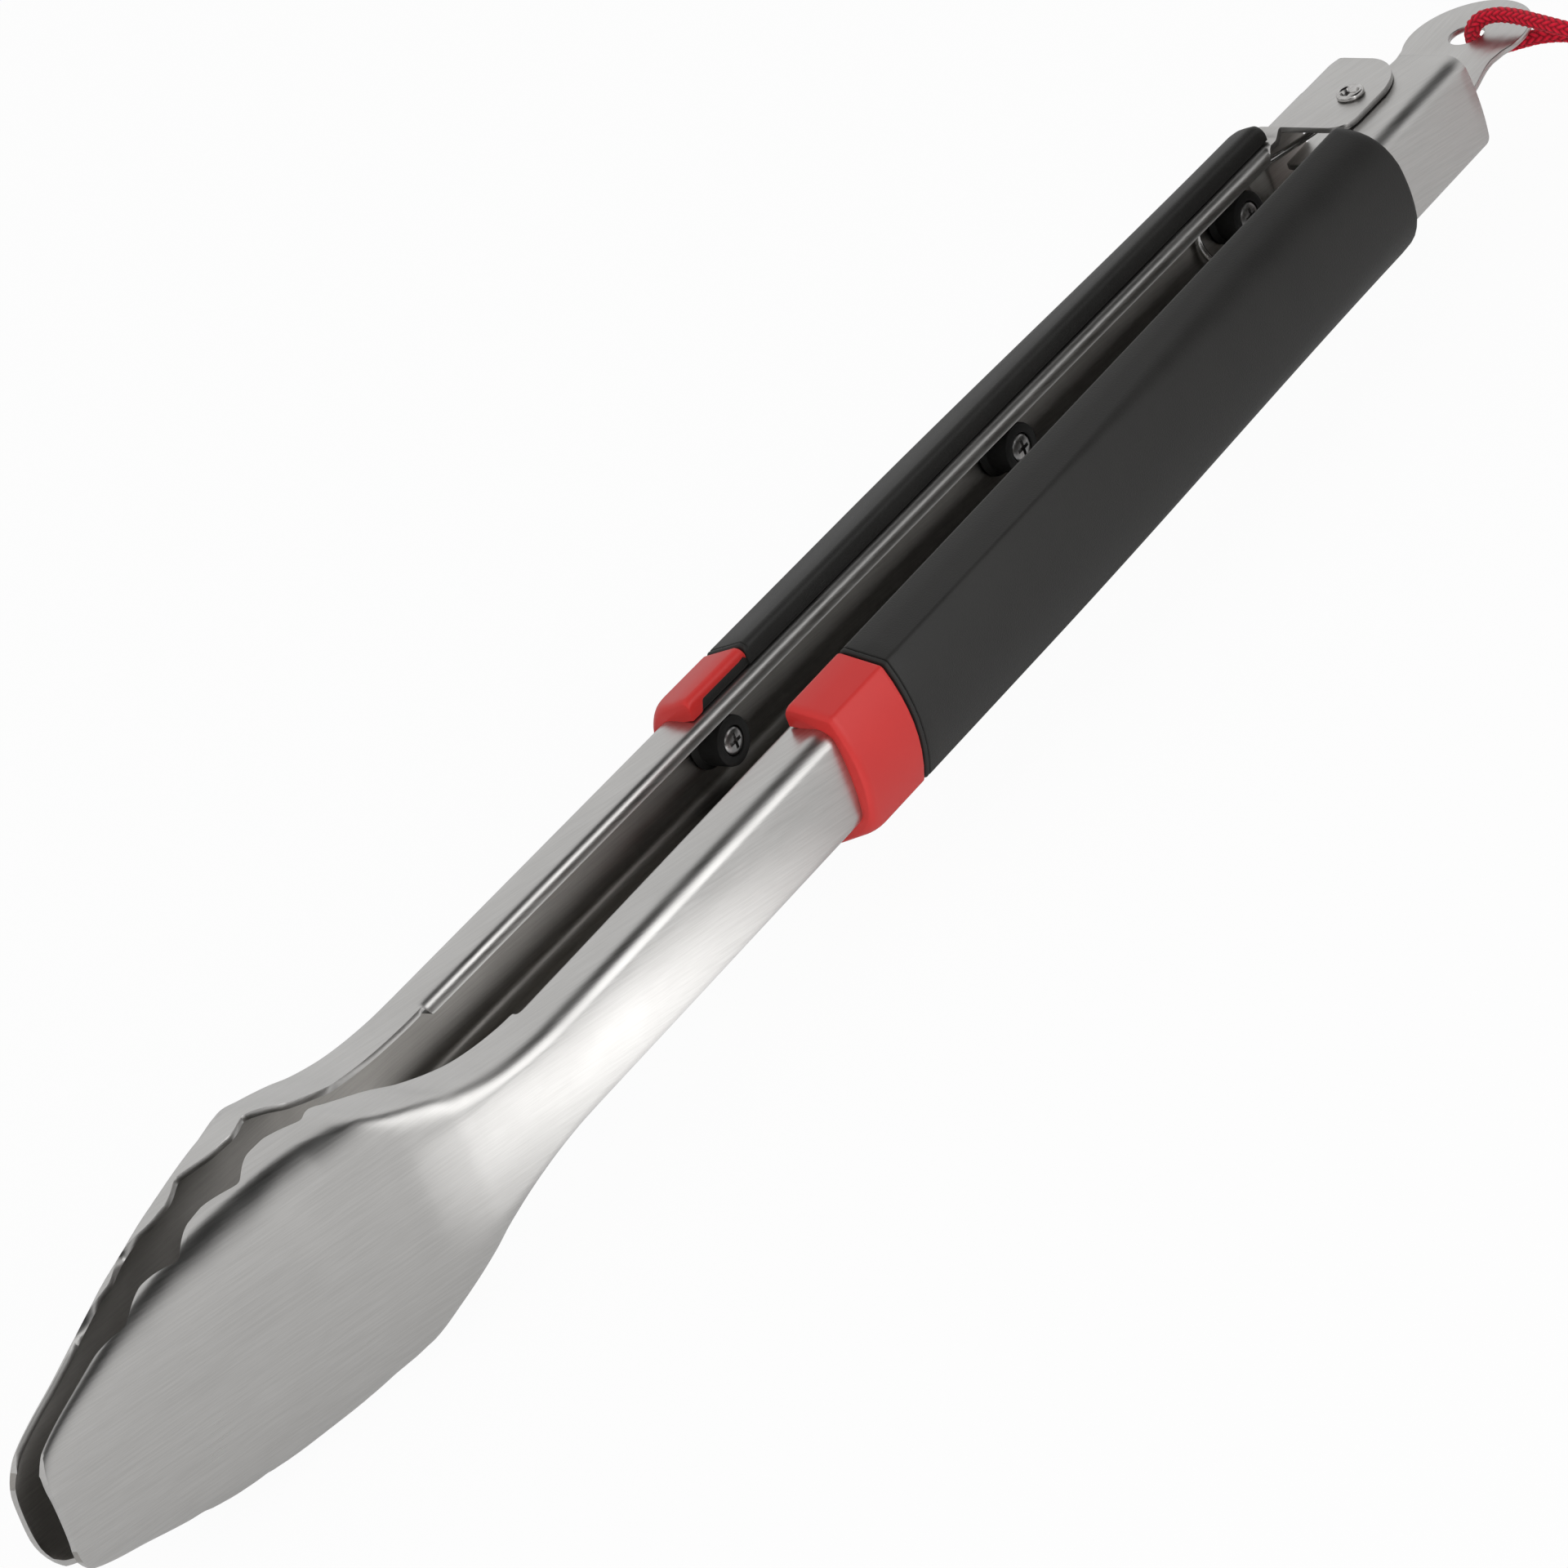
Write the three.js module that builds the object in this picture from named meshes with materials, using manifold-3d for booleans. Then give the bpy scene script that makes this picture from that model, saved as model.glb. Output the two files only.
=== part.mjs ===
// Spring loaded kitchen tongs, lying on their side: X runs from the hinge to the heads, Z is the hinge axis.
// Lengths are in millimetres. Each arm is drawn in its own frame, with its open side towards -Y.
import * as THREE from "three";
import { mergeVertices } from "three/addons/utils/BufferGeometryUtils.js";
import Module from "manifold-3d";

const wasm = await Module();
wasm.setup();

// Driving dimensions of the arms
const sheet = 1.2;
const channelHalf = 10.5;
const channelDepth = 10.25;
const channelCrown = 1.1;
const bendRadius = 4;
const bendShare = 0.6;
const lipDrop = 2.2;
const lipRadius = 1.4;
const lipEnd = 301;
const lipFade = 2.5;
const headEnd = 439;
const headHalf = 24.2;
const headDraft = 1.6;
const headCrown = 0.5;
const headDrop = 17.5;
const edgeRise = 9.2;
const scallopDepth = 2.9;
const scallopReach = 6.5;
const nearEdge = 4.65;
const farEdge = 9.3;
const restAngle = 0.0232;

// Hinge end
const tailLength = 17.3;
const tailTuck = 0.7;
const tailEdge = 0.56;
const tailStep = 7;
const lipStart = 10.2;
const lobeRadius = 6.5;
const earHalfLength = 13.5;
const earReach = 6.1;
const earCorner = 9.6;
const earTuck = 2.6;
const earBend = 7.5;
const earLap = 3;
const joggleStart = 10.3;
const joggleEnd = 14.2;
const wallCut = 2.5;
const rivetRadius = 2;
const rivetHeadRadius = 2.8;
const rivetHeadHeight = 0.9;
const rivetDish = 0.3;
const sleeveWall = 0.7;

// Grips and collars
const gripStart = 14.5;
const gripEnd = 195;
const gripInset = 1.6;
const gripRise = 3.95;
const gripRound = 0.9;
const facetBack = 0.55;
const facetSide = 1.1;
const gripBack = 2.65;
const collarLength = 18.6;
const collarBevel = 1.2;
const collarBevelDepth = 0.7;
const footLength = 4.2;
const tongueWidth = 2.2;
const tongueHeight = 1.7;

// Bosses and screws
const collarScrew = 9;
const bossStations = [24.5, 106, gripEnd + collarScrew];
const bossRadius = 4.8;
const bossFoot = 5.6;
const bossFootHeight = 1.2;
const bossEnd = 3.3;
const screwRadius = 1.45;
const screwHeadRadius = 2.75;
const screwHeadHeight = 1.9;
const screwBite = 1.5;
const recessLength = 3.2;
const recessWidth = 0.75;
const recessDepth = 1.1;

// Lock slider
const plate = 1.2;
const plateSide = -1;
const plateHalf = 13.8;
const plateFront = 8;
const plateShoulder = 17;
const plateCorner = 1.5;
const neckHalf = 11.3;
const neckPlace = 31;
const tabPlace = 40;
const tabRadius = 13.2;
const tabHole = 3.6;
const slideTravel = 10.4;

// Spring
const wire = 1.4;
const coilRadius = 5.2;
const coilLow = 2.4;
const bailInset = 3.6;
const bailReach = 35.5;
const bailCornerShare = 0.65;
const coilTurns = 2;
const legReach = 15.8;

// Cord and knot
const cordDiameter = 3;
const cordSteps = 52;
const knotRadius = 4.2;
const knotLength = 9.5;
const knotShares = [[0, 0], [0.92, 0], [1, 0.16], [1, 0.45], [0.86, 0.75], [0.55, 0.94], [0, 1]];

// Clearances
const gap = 0.3;
const tinyEdge = 0.08;
const overrun = 5;

const steel = { color: 0xc4c4c2, roughness: 0.32, metalness: 1 };
const black = { color: 0x2f2f2e, roughness: 0.7, metalness: 0 };
const red = { color: 0xd03c3a, roughness: 0.5, metalness: 0 };
const cordRed = { color: 0xc8142a, roughness: 0.9, metalness: 0 };

// Solids and meshes
function toSolid(geometry) {
  const bare = geometry.clone();
  bare.deleteAttribute("normal");
  bare.deleteAttribute("uv");
  const merged = mergeVertices(bare, gap / overrun / overrun / overrun);
  return new wasm.Manifold(new wasm.Mesh({
    numProp: 3,
    vertProperties: new Float32Array(merged.attributes.position.array),
    triVerts: new Uint32Array(merged.index.array),
  }));
}

function toGeometry(solid) {
  const mesh = solid.simplify(tinyEdge).getMesh();
  const geometry = new THREE.BufferGeometry();
  geometry.setAttribute("position", new THREE.BufferAttribute(new Float32Array(mesh.vertProperties), mesh.numProp));
  geometry.setIndex(new THREE.BufferAttribute(new Uint32Array(mesh.triVerts), 1));
  return geometry;
}

function piece(name, shape, look) {
  const geometry = shape.isBufferGeometry ? shape : toGeometry(shape);
  geometry.computeVertexNormals();
  const mesh = new THREE.Mesh(geometry, new THREE.MeshStandardMaterial(look));
  mesh.name = name;
  return mesh;
}

// A closed skin over rings of equal count, capped at both ends; rings are lists of [y, z] at one x
function loft(stations, rings) {
  const count = rings[0].length;
  const positions = [];
  rings.forEach((ring, i) => ring.forEach(([y, z]) => positions.push(stations[i], y, z)));
  const index = [];
  for (let i = 0; i + 1 < rings.length; i += 1) {
    for (let j = 0; j < count; j += 1) {
      const a = i * count + j;
      const b = i * count + (j + 1) % count;
      index.push(a, b, a + count, b, b + count, a + count);
    }
  }
  const cap = (ring) => THREE.ShapeUtils.triangulateShape(ring.map(([y, z]) => new THREE.Vector2(y, z)), []);
  const last = (rings.length - 1) * count;
  cap(rings[0]).forEach(([a, b, c]) => index.push(a, c, b));
  cap(rings[rings.length - 1]).forEach(([a, b, c]) => index.push(last + a, last + b, last + c));
  const geometry = new THREE.BufferGeometry();
  geometry.setAttribute("position", new THREE.Float32BufferAttribute(positions, 3));
  geometry.setIndex(index);
  return geometry;
}

// An outline in Y and Z, drawn out along X
function alongX(outline, from, to) {
  const shape = new THREE.Shape(outline.map(([y, z]) => new THREE.Vector2(y, z)));
  const geometry = new THREE.ExtrudeGeometry(shape, { depth: to - from, bevelEnabled: false });
  const turn = new THREE.Matrix4().makeBasis(
    new THREE.Vector3(0, 1, 0), new THREE.Vector3(0, 0, 1), new THREE.Vector3(1, 0, 0));
  return geometry.applyMatrix4(turn.setPosition(from, 0, 0));
}

// A flat shape in X and Y, drawn up along Z
function alongZ(shape, from, to) {
  return new THREE.ExtrudeGeometry(shape, { depth: to - from, bevelEnabled: false, curveSegments: 10 })
    .translate(0, 0, from);
}

function box(x, y, z) {
  return toSolid(new THREE.BoxGeometry(x[1] - x[0], y[1] - y[0], z[1] - z[0])
    .translate((x[0] + x[1]) / 2, (y[0] + y[1]) / 2, (z[0] + z[1]) / 2));
}

// A round bar along Y at station x
function barY(x, radius, from, to) {
  return new THREE.CylinderGeometry(radius, radius, to - from, 16).translate(x, (from + to) / 2, 0);
}

function barZ(radius, from, to) {
  return new THREE.CylinderGeometry(radius, radius, to - from, 20)
    .rotateX(Math.PI / 2).translate(0, 0, (from + to) / 2);
}

// The hinge bore, turned half a facet against the lobes and ears round it
function hingeBore() {
  const reach = channelHalf + overrun;
  return toSolid(barZ(rivetRadius + gap, -reach, reach).rotateZ(Math.PI / 20));
}

// Both the top and the bottom copy of a solid
function twice(solid) {
  return solid.add(solid.mirror([0, 0, 1]));
}

// Profile of the pressed arm. Shares run along the head, from the lip's end to the tip.
const headShares = [0, 0.05, 0.11, 0.16, 0.22, 0.26, 0.33, 0.38, 0.44, 0.49, 0.56, 0.62, 0.67, 0.73, 0.78, 0.83,
  0.88, 0.94, 0.98, 1];
const widthShares = [0, 0.01, 0.06, 0.14, 0.3, 0.45, 0.71, 0.91, 0.98, 1, 0.98, 0.96, 0.91, 0.84, 0.73, 0.6,
  0.45, 0.27, 0.1, -0.07];
const wallShares = [0, 0, 0, 0, 0.005, 0.015, 0.08, 0.17, 0.27, 0.345, 0.43, 0.525, 0.61, 0.705, 0.79, 0.865,
  0.92, 0.968, 0.994, 1];
const edgeShares = [0, 0.03, 0.1, 0.21, 0.45, 0.68, 0.79, 0.83, 0.8, 0.79, 0.79, 0.8, 0.83, 0.88, 0.92, 0.955,
  0.985, 1, 1, 1];
const scallopShares = [0.396, 0.536, 0.674, 0.783];
const headSteps = 42;

// Smooth curve through a table of shares
function along(shares, u) {
  let i = 0;
  while (i < headShares.length - 2 && headShares[i + 1] < u) i += 1;
  const at = (k) => shares[Math.min(Math.max(k, 0), shares.length - 1)];
  const place = (k) => headShares[Math.min(Math.max(k, 0), headShares.length - 1)];
  const span = place(i + 1) - place(i);
  const slope = (k) => (at(k + 1) - at(k - 1)) / Math.max(place(k + 1) - place(k - 1), Number.EPSILON);
  const s = Math.min(Math.max((u - place(i)) / span, 0), 1);
  const cube = s * s * s;
  const square = s * s;
  return (2 * cube - 3 * square + 1) * at(i) + (cube - 2 * square + s) * span * slope(i)
    + (3 * square - 2 * cube) * at(i + 1) + (cube - square) * span * slope(i + 1);
}

function armAt(x, edge) {
  const headLength = headEnd - lipEnd;
  const u = THREE.MathUtils.clamp((x - lipEnd) / headLength, 0, 1);
  const notch = scallopShares.reduce((sum, share) => {
    const near = 1 - Math.abs(x - lipEnd - share * headLength) / scallopReach;
    return sum + scallopDepth * Math.max(near, 0) ** 1.5;
  }, 0);
  const spread = along(widthShares, u);
  const half = channelHalf + spread * (headHalf - channelHalf);
  return {
    rim: [edge - along(edgeShares, u) * edgeRise + notch, half + Math.max(spread, 0) * headDraft],
    corner: [edge + channelDepth - along(wallShares, u) * headDrop, half],
    crown: THREE.MathUtils.lerp(channelCrown, headCrown, THREE.MathUtils.smoothstep(u, 0, 0.4)),
    straight: THREE.MathUtils.clamp((x - lipEnd) / lipFade, 0, 1),
  };
}

// Outer line of the pressing's upper half, from the free edge to the middle of the back
function armLine({ rim, corner, crown, straight, bend = bendRadius }) {
  const side = new THREE.Vector2(corner[0] - rim[0], corner[1] - rim[1]);
  const length = side.length();
  const radius = Math.min(bend, length * bendShare);
  const down = side.clone().divideScalar(length);
  const onSide = (d) => [rim[0] + down.x * d, rim[1] + down.y * d];
  const rolled = [
    [rim[0], rim[1] - lipDrop],
    [rim[0], rim[1] - lipRadius],
    [rim[0] + lipRadius * (1 - Math.SQRT1_2), rim[1] - lipRadius * (1 - Math.SQRT1_2)],
    [rim[0] + lipRadius, rim[1]],
  ];
  const stepShares = [0, 0.3, 0.6, 1];
  const first = rolled.map((p, i) => {
    const flat = onSide(Math.min(lipRadius, length / 3) * stepShares[i]);
    return [THREE.MathUtils.lerp(p[0], flat[0], straight), THREE.MathUtils.lerp(p[1], flat[1], straight)];
  });
  const corners = new THREE.QuadraticBezierCurve(
    new THREE.Vector2(...onSide(length - radius)),
    new THREE.Vector2(...corner),
    new THREE.Vector2(corner[0], corner[1] - radius));
  const arc = corners.getPoints(3).map((p) => [p.x, p.y]);
  const flatHalf = corner[1] - radius;
  const back = [0.5, 0].map((share) => [corner[0] + crown * (1 - share * share), flatHalf * share]);
  return [...first, ...arc, ...back];
}

// Moves an open line sideways by the sheet's thickness
function offsetLine(line, distance) {
  return line.map((p, i) => {
    const before = line[Math.max(i - 1, 0)];
    const after = line[Math.min(i + 1, line.length - 1)];
    const into = new THREE.Vector2(p[0] - before[0], p[1] - before[1]);
    const out = new THREE.Vector2(after[0] - p[0], after[1] - p[1]);
    if (into.lengthSq() === 0) into.copy(out);
    if (out.lengthSq() === 0) out.copy(into);
    into.normalize();
    out.normalize();
    const mid = into.clone().add(out).normalize();
    const reach = distance / Math.max(mid.dot(into), 0.75);
    return [p[0] + mid.y * reach, p[1] - mid.x * reach];
  });
}

function wholeLine(half) {
  const mirrored = half.slice(0, -1).reverse().map(([y, z]) => [y, -z]);
  return [...half, ...mirrored];
}

function armRing(section) {
  const outer = wholeLine(armLine(section));
  const inner = offsetLine(outer, sheet).reverse();
  return [...outer, ...inner].reverse();
}

function armStations(start) {
  const handle = [0, 0.25, 0.5, 0.75, 1].map((share) => THREE.MathUtils.lerp(start, lipEnd, share));
  const head = Array.from({ length: headSteps },
    (_, i) => THREE.MathUtils.lerp(lipEnd + lipFade, headEnd, i / (headSteps - 1)));
  return [...handle, ...head];
}

function screwHoles(edge) {
  return bossStations.map((x) => toSolid(barY(x, screwRadius + gap, edge, edge + channelDepth + overrun)))
    .reduce((all, hole) => all.add(hole));
}

// Near arm: its tail passes behind the hinge, with a lobe round the rivet on each flange
function nearArm() {
  const body = armStations(lipStart);
  const tail = [-tailLength, 0, tailStep];
  const tailSection = (x) => {
    const section = armAt(x, nearEdge);
    const corner = [section.corner[0] - tailTuck, section.corner[1]];
    return { ...section, corner, rim: [tailEdge, channelHalf], straight: 1 };
  };
  const rings = [...tail.map((x) => armRing(tailSection(x))), ...body.map((x) => armRing(armAt(x, nearEdge)))];
  const lobe = toSolid(barZ(lobeRadius, channelHalf - sheet, channelHalf));
  return toSolid(loft([...tail, ...body], rings))
    .add(twice(lobe))
    .subtract(hingeBore())
    .subtract(screwHoles(nearEdge));
}

// Far arm: two flat ears step out over the near arm's flanges
const earTop = channelHalf + gap + sheet;
const earInner = farEdge + gripInset - 2 * gap;

const earCornerShares = [0.03, 0.57, 0.42, 0.08, 1.15, 0];

function earShape() {
  const shape = new THREE.Shape();
  const side = earHalfLength;
  const low = -earReach;
  shape.moveTo(-side, earInner);
  shape.lineTo(-side, low + earCorner);
  shape.bezierCurveTo(...earCornerShares.map((share, i) => (i % 2 ? low : -side) + share * earCorner));
  shape.lineTo(side - earCorner / 2, low);
  shape.quadraticCurveTo(side, low, side, low + earCorner / 2);
  shape.lineTo(side, earInner);
  shape.closePath();
  return shape;
}

// The far channel is wider at its ears and steps down to the common width in front of them
function farSection(x) {
  const section = armAt(x, farEdge);
  const wider = THREE.MathUtils.clamp((joggleEnd - x) / (joggleEnd - joggleStart), 0, 1);
  const more = wider * (earTop - channelHalf);
  return {
    ...section,
    rim: [section.rim[0] - wider * earLap, section.rim[1] + more],
    corner: [section.corner[0] - wider * earTuck, section.corner[1] + more],
    straight: Math.max(section.straight, wider),
    bend: THREE.MathUtils.lerp(bendRadius, earBend, wider),
  };
}

function farArm() {
  const stations = [-wallCut, joggleStart, ...armStations(joggleEnd)];
  return toSolid(loft(stations, stations.map((x) => armRing(farSection(x)))))
    .add(twice(toSolid(alongZ(earShape(), earTop - sheet, earTop))))
    .subtract(hingeBore())
    .subtract(screwHoles(farEdge));
}

// Outline shared by grip and collar: slanted top facet, crowned outside, open towards the gap
function gripOutline(edge, inset) {
  const inner = offsetLine(wholeLine([
    [edge + gripInset, channelHalf],
    ...armLine(armAt(gripEnd, edge)).slice(4),
  ]), -gap).reverse();
  const top = channelHalf + gripRise - inset;
  const side = edge + gripInset;
  const facet = [edge + channelDepth + facetBack - inset / 2, channelHalf + facetSide - inset];
  const crown = edge + channelDepth + channelCrown + gripBack - inset;
  const arc = [0.75, 0.5, 0.25, 0].map((share) => {
    const z = facet[1] * share;
    return [crown - (crown - facet[0]) * share * share, z];
  });
  const outer = wholeLine([
    [side, top - gripRound], [side + gripRound, top], facet, ...arc]);
  return [...outer, ...inner];
}

function tongue(edge, from, to, spare) {
  const side = edge + gripInset;
  const low = channelHalf + gap;
  return twice(box([from, to], [side - spare * overrun, side + tongueWidth + spare],
    [low - spare * overrun, low + tongueHeight + spare]));
}

function grip(edge) {
  const holes = bossStations.map((x) => toSolid(
    barY(x, screwRadius + gap, edge, edge + channelDepth + channelCrown + screwBite + 2 * gap)));
  const tip = gripEnd + collarLength - footLength - gap;
  return toSolid(alongX(gripOutline(edge, 0), gripStart, gripEnd))
    .add(tongue(edge, gripEnd - overrun, tip, 0))
    .subtract(holes.slice(0, 2).reduce((all, hole) => all.add(hole)));
}

function collar(edge) {
  const start = gripEnd + gap;
  const end = gripEnd + collarLength;
  const solid = toSolid(loft([start, end - collarBevel, end],
    [0, 0, collarBevelDepth].map((inset) => gripOutline(edge, inset).reverse())));
  const screwRoom = toSolid(barY(bossStations[2], screwRadius + gap, edge,
    edge + channelDepth + channelCrown + screwBite + 2 * gap));
  return solid
    .subtract(tongue(edge, start - overrun, end - footLength, gap))
    .subtract(screwRoom);
}

// Spacer boss on the inside of the back, and the screw through it into the grip
function boss(x, edge) {
  const drop = channelCrown * (bossFoot / (channelHalf - bendRadius)) ** 2;
  const base = edge + channelDepth + channelCrown - sheet - drop - gap;
  const end = edge + bossEnd;
  const bore = screwRadius + gap;
  const profile = [
    [bore, end], [bossRadius - bore / 4, end], [bossRadius, end + bore / 4],
    [bossRadius, base - bossFootHeight], [bossFoot, base], [bore, base], [bore, end],
  ];
  return new THREE.LatheGeometry(profile.map(([r, y]) => new THREE.Vector2(r, y)), 20).translate(x, 0, 0);
}

function screw(x, edge) {
  const seat = edge + bossEnd - gap;
  const end = edge + channelDepth + channelCrown + screwBite;
  const profile = [
    [0, end], [screwRadius, end], [screwRadius, seat], [screwHeadRadius, seat],
    [screwHeadRadius, seat - screwHeadHeight / 2], [screwHeadRadius * 0.75, seat - screwHeadHeight * 0.9],
    [0, seat - screwHeadHeight],
  ].reverse();
  const body = new THREE.LatheGeometry(profile.map(([r, y]) => new THREE.Vector2(r, y)), 16).translate(x, 0, 0);
  const top = seat - screwHeadHeight;
  const slot = (long, across) => box([x - long / 2, x + long / 2], [top - overrun, top + recessDepth],
    [-across / 2, across / 2]);
  return toSolid(body)
    .subtract(slot(recessLength, recessWidth).add(slot(recessWidth, recessLength)));
}

// Rivet and sleeve on the hinge axis
function rivet() {
  const low = earTop + gap;
  const high = low + rivetHeadHeight;
  const half = [
    [rivetRadius, low], [rivetHeadRadius, low], [rivetHeadRadius, high - rivetDish],
    [rivetHeadRadius * 0.8, high], [rivetHeadRadius * 0.6, high - rivetDish], [0, high - rivetDish / 2],
  ];
  const profile = [...half.slice().reverse().map(([r, z]) => [r, -z]), ...half];
  return new THREE.LatheGeometry(profile.map(([r, z]) => new THREE.Vector2(r, z)), 20).rotateX(Math.PI / 2);
}

function sleeve() {
  const inner = rivetRadius + gap;
  const outer = inner + sleeveWall;
  const top = channelHalf - sheet - gap;
  const profile = [[inner, -top], [outer, -top], [outer, top], [inner, top], [inner, -top]];
  return new THREE.LatheGeometry(profile.map(([r, z]) => new THREE.Vector2(r, z)), 20).rotateX(Math.PI / 2);
}

// Lock slider: wide plate, waist and round pull tab, with a slot for the sleeve and a hanging hole
function slider() {
  const shape = new THREE.Shape();
  const head = Math.asin(neckHalf / tabRadius);
  const side = (s) => plateSide + s * plateHalf;
  shape.moveTo(plateFront, side(-1) + plateCorner);
  shape.lineTo(plateFront, side(1) - plateCorner);
  shape.lineTo(plateFront - plateCorner, side(1));
  shape.lineTo(-plateShoulder, side(1));
  const waist = plateSide + neckHalf;
  shape.bezierCurveTo(-plateShoulder * 1.3, side(1), -neckPlace + plateShoulder / 4, waist, -neckPlace, waist);
  shape.absarc(-tabPlace, plateSide, tabRadius, head, Math.PI * 2 - head, false);
  const low = plateSide - neckHalf;
  shape.lineTo(-neckPlace, low);
  shape.bezierCurveTo(-neckPlace + plateShoulder / 4, low, -plateShoulder * 1.3, side(-1), -plateShoulder, side(-1));
  shape.lineTo(plateFront - plateCorner, side(-1));
  shape.closePath();
  const hole = new THREE.Path();
  hole.absarc(-tabPlace, plateSide, tabHole, 0, Math.PI * 2, true);
  const slotHalf = rivetRadius + 2 * gap + sleeveWall;
  const slot = new THREE.Path();
  slot.absarc(0, 0, slotHalf, Math.PI / 2, -Math.PI / 2, true);
  slot.absarc(-slideTravel, 0, slotHalf, -Math.PI / 2, -Math.PI * 1.5, true);
  shape.holes.push(hole, slot);
  return alongZ(shape, 0, plate);
}

// Double torsion spring: a leg on the near arm, a coil, the bail on the far arm, a coil and a leg
function springPoints() {
  const bailHalf = channelHalf - bailInset;
  const wallRoom = sheet + gap + wire / 2;
  const nearWall = nearEdge + channelDepth + channelCrown / 2 - wallRoom;
  const farWall = -(farEdge + channelDepth + channelCrown - wallRoom + restAngle * bailReach);
  const cornerY = farWall + 2 * channelCrown;
  const leg = new THREE.Vector2(legReach, nearWall);
  const bail = new THREE.Vector2(bailReach - bailHalf / 2, cornerY);
  const start = leg.angle() + Math.acos(coilRadius / leg.length());
  const end = bail.angle() - Math.acos(coilRadius / bail.length());
  const turn = end - start + Math.PI * 2 * (coilTurns + 1) - Math.PI * 2 * Math.floor((end - start) / (Math.PI * 2) + 1);
  const steps = Math.round(turn / (Math.PI * 2) * 8);
  const top = [new THREE.Vector3(leg.x, leg.y, coilLow)];
  const foot = new THREE.Vector3(Math.cos(start) * coilRadius, Math.sin(start) * coilRadius, coilLow);
  top.push(top[0].clone().lerp(foot, 0.5));
  for (let i = 0; i <= steps; i += 1) {
    const angle = start + turn * i / steps;
    top.push(new THREE.Vector3(Math.cos(angle) * coilRadius, Math.sin(angle) * coilRadius,
      THREE.MathUtils.lerp(coilLow, bailHalf, i / steps)));
  }
  const elbow = new THREE.Vector3(bail.x, bail.y, bailHalf);
  const last = top[top.length - 1];
  top.push(last.clone().lerp(elbow, 1 / 3), last.clone().lerp(elbow, 2 / 3), elbow);
  top.push(new THREE.Vector3(bailReach - wire / 2, (cornerY + farWall) / 2, bailHalf * bailCornerShare));
  const bottom = top.slice().reverse().map((p) => new THREE.Vector3(p.x, p.y, -p.z));
  return [...top, new THREE.Vector3(bailReach, farWall, 0), ...bottom];
}

// A tube of even section along a line of points
function tube(points, radius, sides, steps, label) {
  const curve = new THREE.CatmullRomCurve3(points, false, "centripetal");
  curve.arcLengthDivisions = steps * 8;
  const section = new THREE.Shape();
  section.absarc(0, 0, radius, 0, Math.PI * 2, false);
  const ring = section.getSpacedPoints(sides).slice(0, sides);
  const geometry = new THREE.ExtrudeGeometry(new THREE.Shape(ring), { steps, extrudePath: curve });
  console.log(label, "length", curve.getLength().toFixed(1), "least gap", leastGap(curve, radius, steps).toFixed(2));
  return geometry;
}

// Least gap between stretches of a tube that lie apart along it
function leastGap(curve, radius, steps) {
  const points = curve.getSpacedPoints(steps * 2);
  const pace = curve.getLength() / (steps * 2);
  const apart = Math.ceil(radius * 4 / pace);
  let least = Infinity;
  points.forEach((p, i) => points.slice(i + apart).forEach((other) => {
    least = Math.min(least, p.distanceTo(other) - 2 * radius);
  }));
  return least;
}

function spring() {
  const points = springPoints();
  return tube(points, wire / 2, 5, points.length - 1, "torsion_spring");
}

// Hanging cord: one strand over the tab, one under it, both to the knot on the surface below
const cordRoute = [
  [-92, 36.2, -22], [-89.5, 36.2, -22], [-85, 37, -23.6], [-79, 39, -24.5], [-71.5, 41.3, -24.5],
  [-63.5, 42.3, -22.5], [-56, 41.3, -17.5], [-49.5, 38.5, -11], [-44, 34, -4.4], [-40.5, 28.5, 0.6],
  [-39.1, 22.4, 3.3], [-39.9, 16.3, 4.3], [-41, 10.5, 4.8], [-41.2, 6.6, 4.9], [-40.8, 3.2, 4.3],
  [-40.4, 1.2, 2.9], [-40.8, -0.3, 0.6], [-41.3, -0.5, -1.4], [-42.3, 1.1, -3], [-43.7, 4, -3.5],
  [-45.2, 7, -3.4], [-46.6, 10.7, -3.2], [-48.6, 15, -4], [-52, 20, -7.2], [-55.8, 25, -13],
  [-60.5, 29, -19], [-66, 31.2, -23.2], [-73, 32, -24.5], [-80, 32, -24.5], [-85.5, 32.2, -23.4],
  [-89.5, 32.4, -22], [-92, 32.4, -22],
];
const knotPlace = [-92.3, 34.3, -22];

function cord() {
  const points = cordRoute.map((p) => new THREE.Vector3(...p));
  return tube(points, cordDiameter / 2, 8, cordSteps, "hang_cord");
}

function knot() {
  const outline = knotShares.map(([radius, along]) => new THREE.Vector2(radius * knotRadius, along * knotLength));
  return new THREE.LatheGeometry(outline, 14).rotateZ(Math.PI / 2).translate(...knotPlace);
}

// The whole tongs
function armSet(side, edge, arm) {
  const set = new THREE.Group();
  set.add(piece(`${side}_arm`, arm, steel));
  set.add(piece(`${side}_grip`, grip(edge), black));
  set.add(piece(`${side}_collar`, collar(edge), red));
  bossStations.forEach((x, i) => {
    set.add(piece(`${side}_boss_${i + 1}`, boss(x, edge), black));
    set.add(piece(`${side}_screw_${i + 1}`, screw(x, edge), steel));
  });
  return set;
}

const tongs = new THREE.Group();
tongs.add(armSet("near", nearEdge, nearArm()));
const farTurn = new THREE.Group();
const farSet = armSet("far", farEdge, farArm());
farSet.rotation.x = Math.PI;
farTurn.rotation.z = -restAngle;
farTurn.add(farSet);
tongs.add(farTurn);
tongs.add(piece("hinge_rivet", rivet(), steel));
tongs.add(piece("hinge_sleeve", sleeve(), steel));
tongs.add(piece("lock_slider", slider(), steel));
tongs.add(piece("torsion_spring", spring(), steel));

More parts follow.
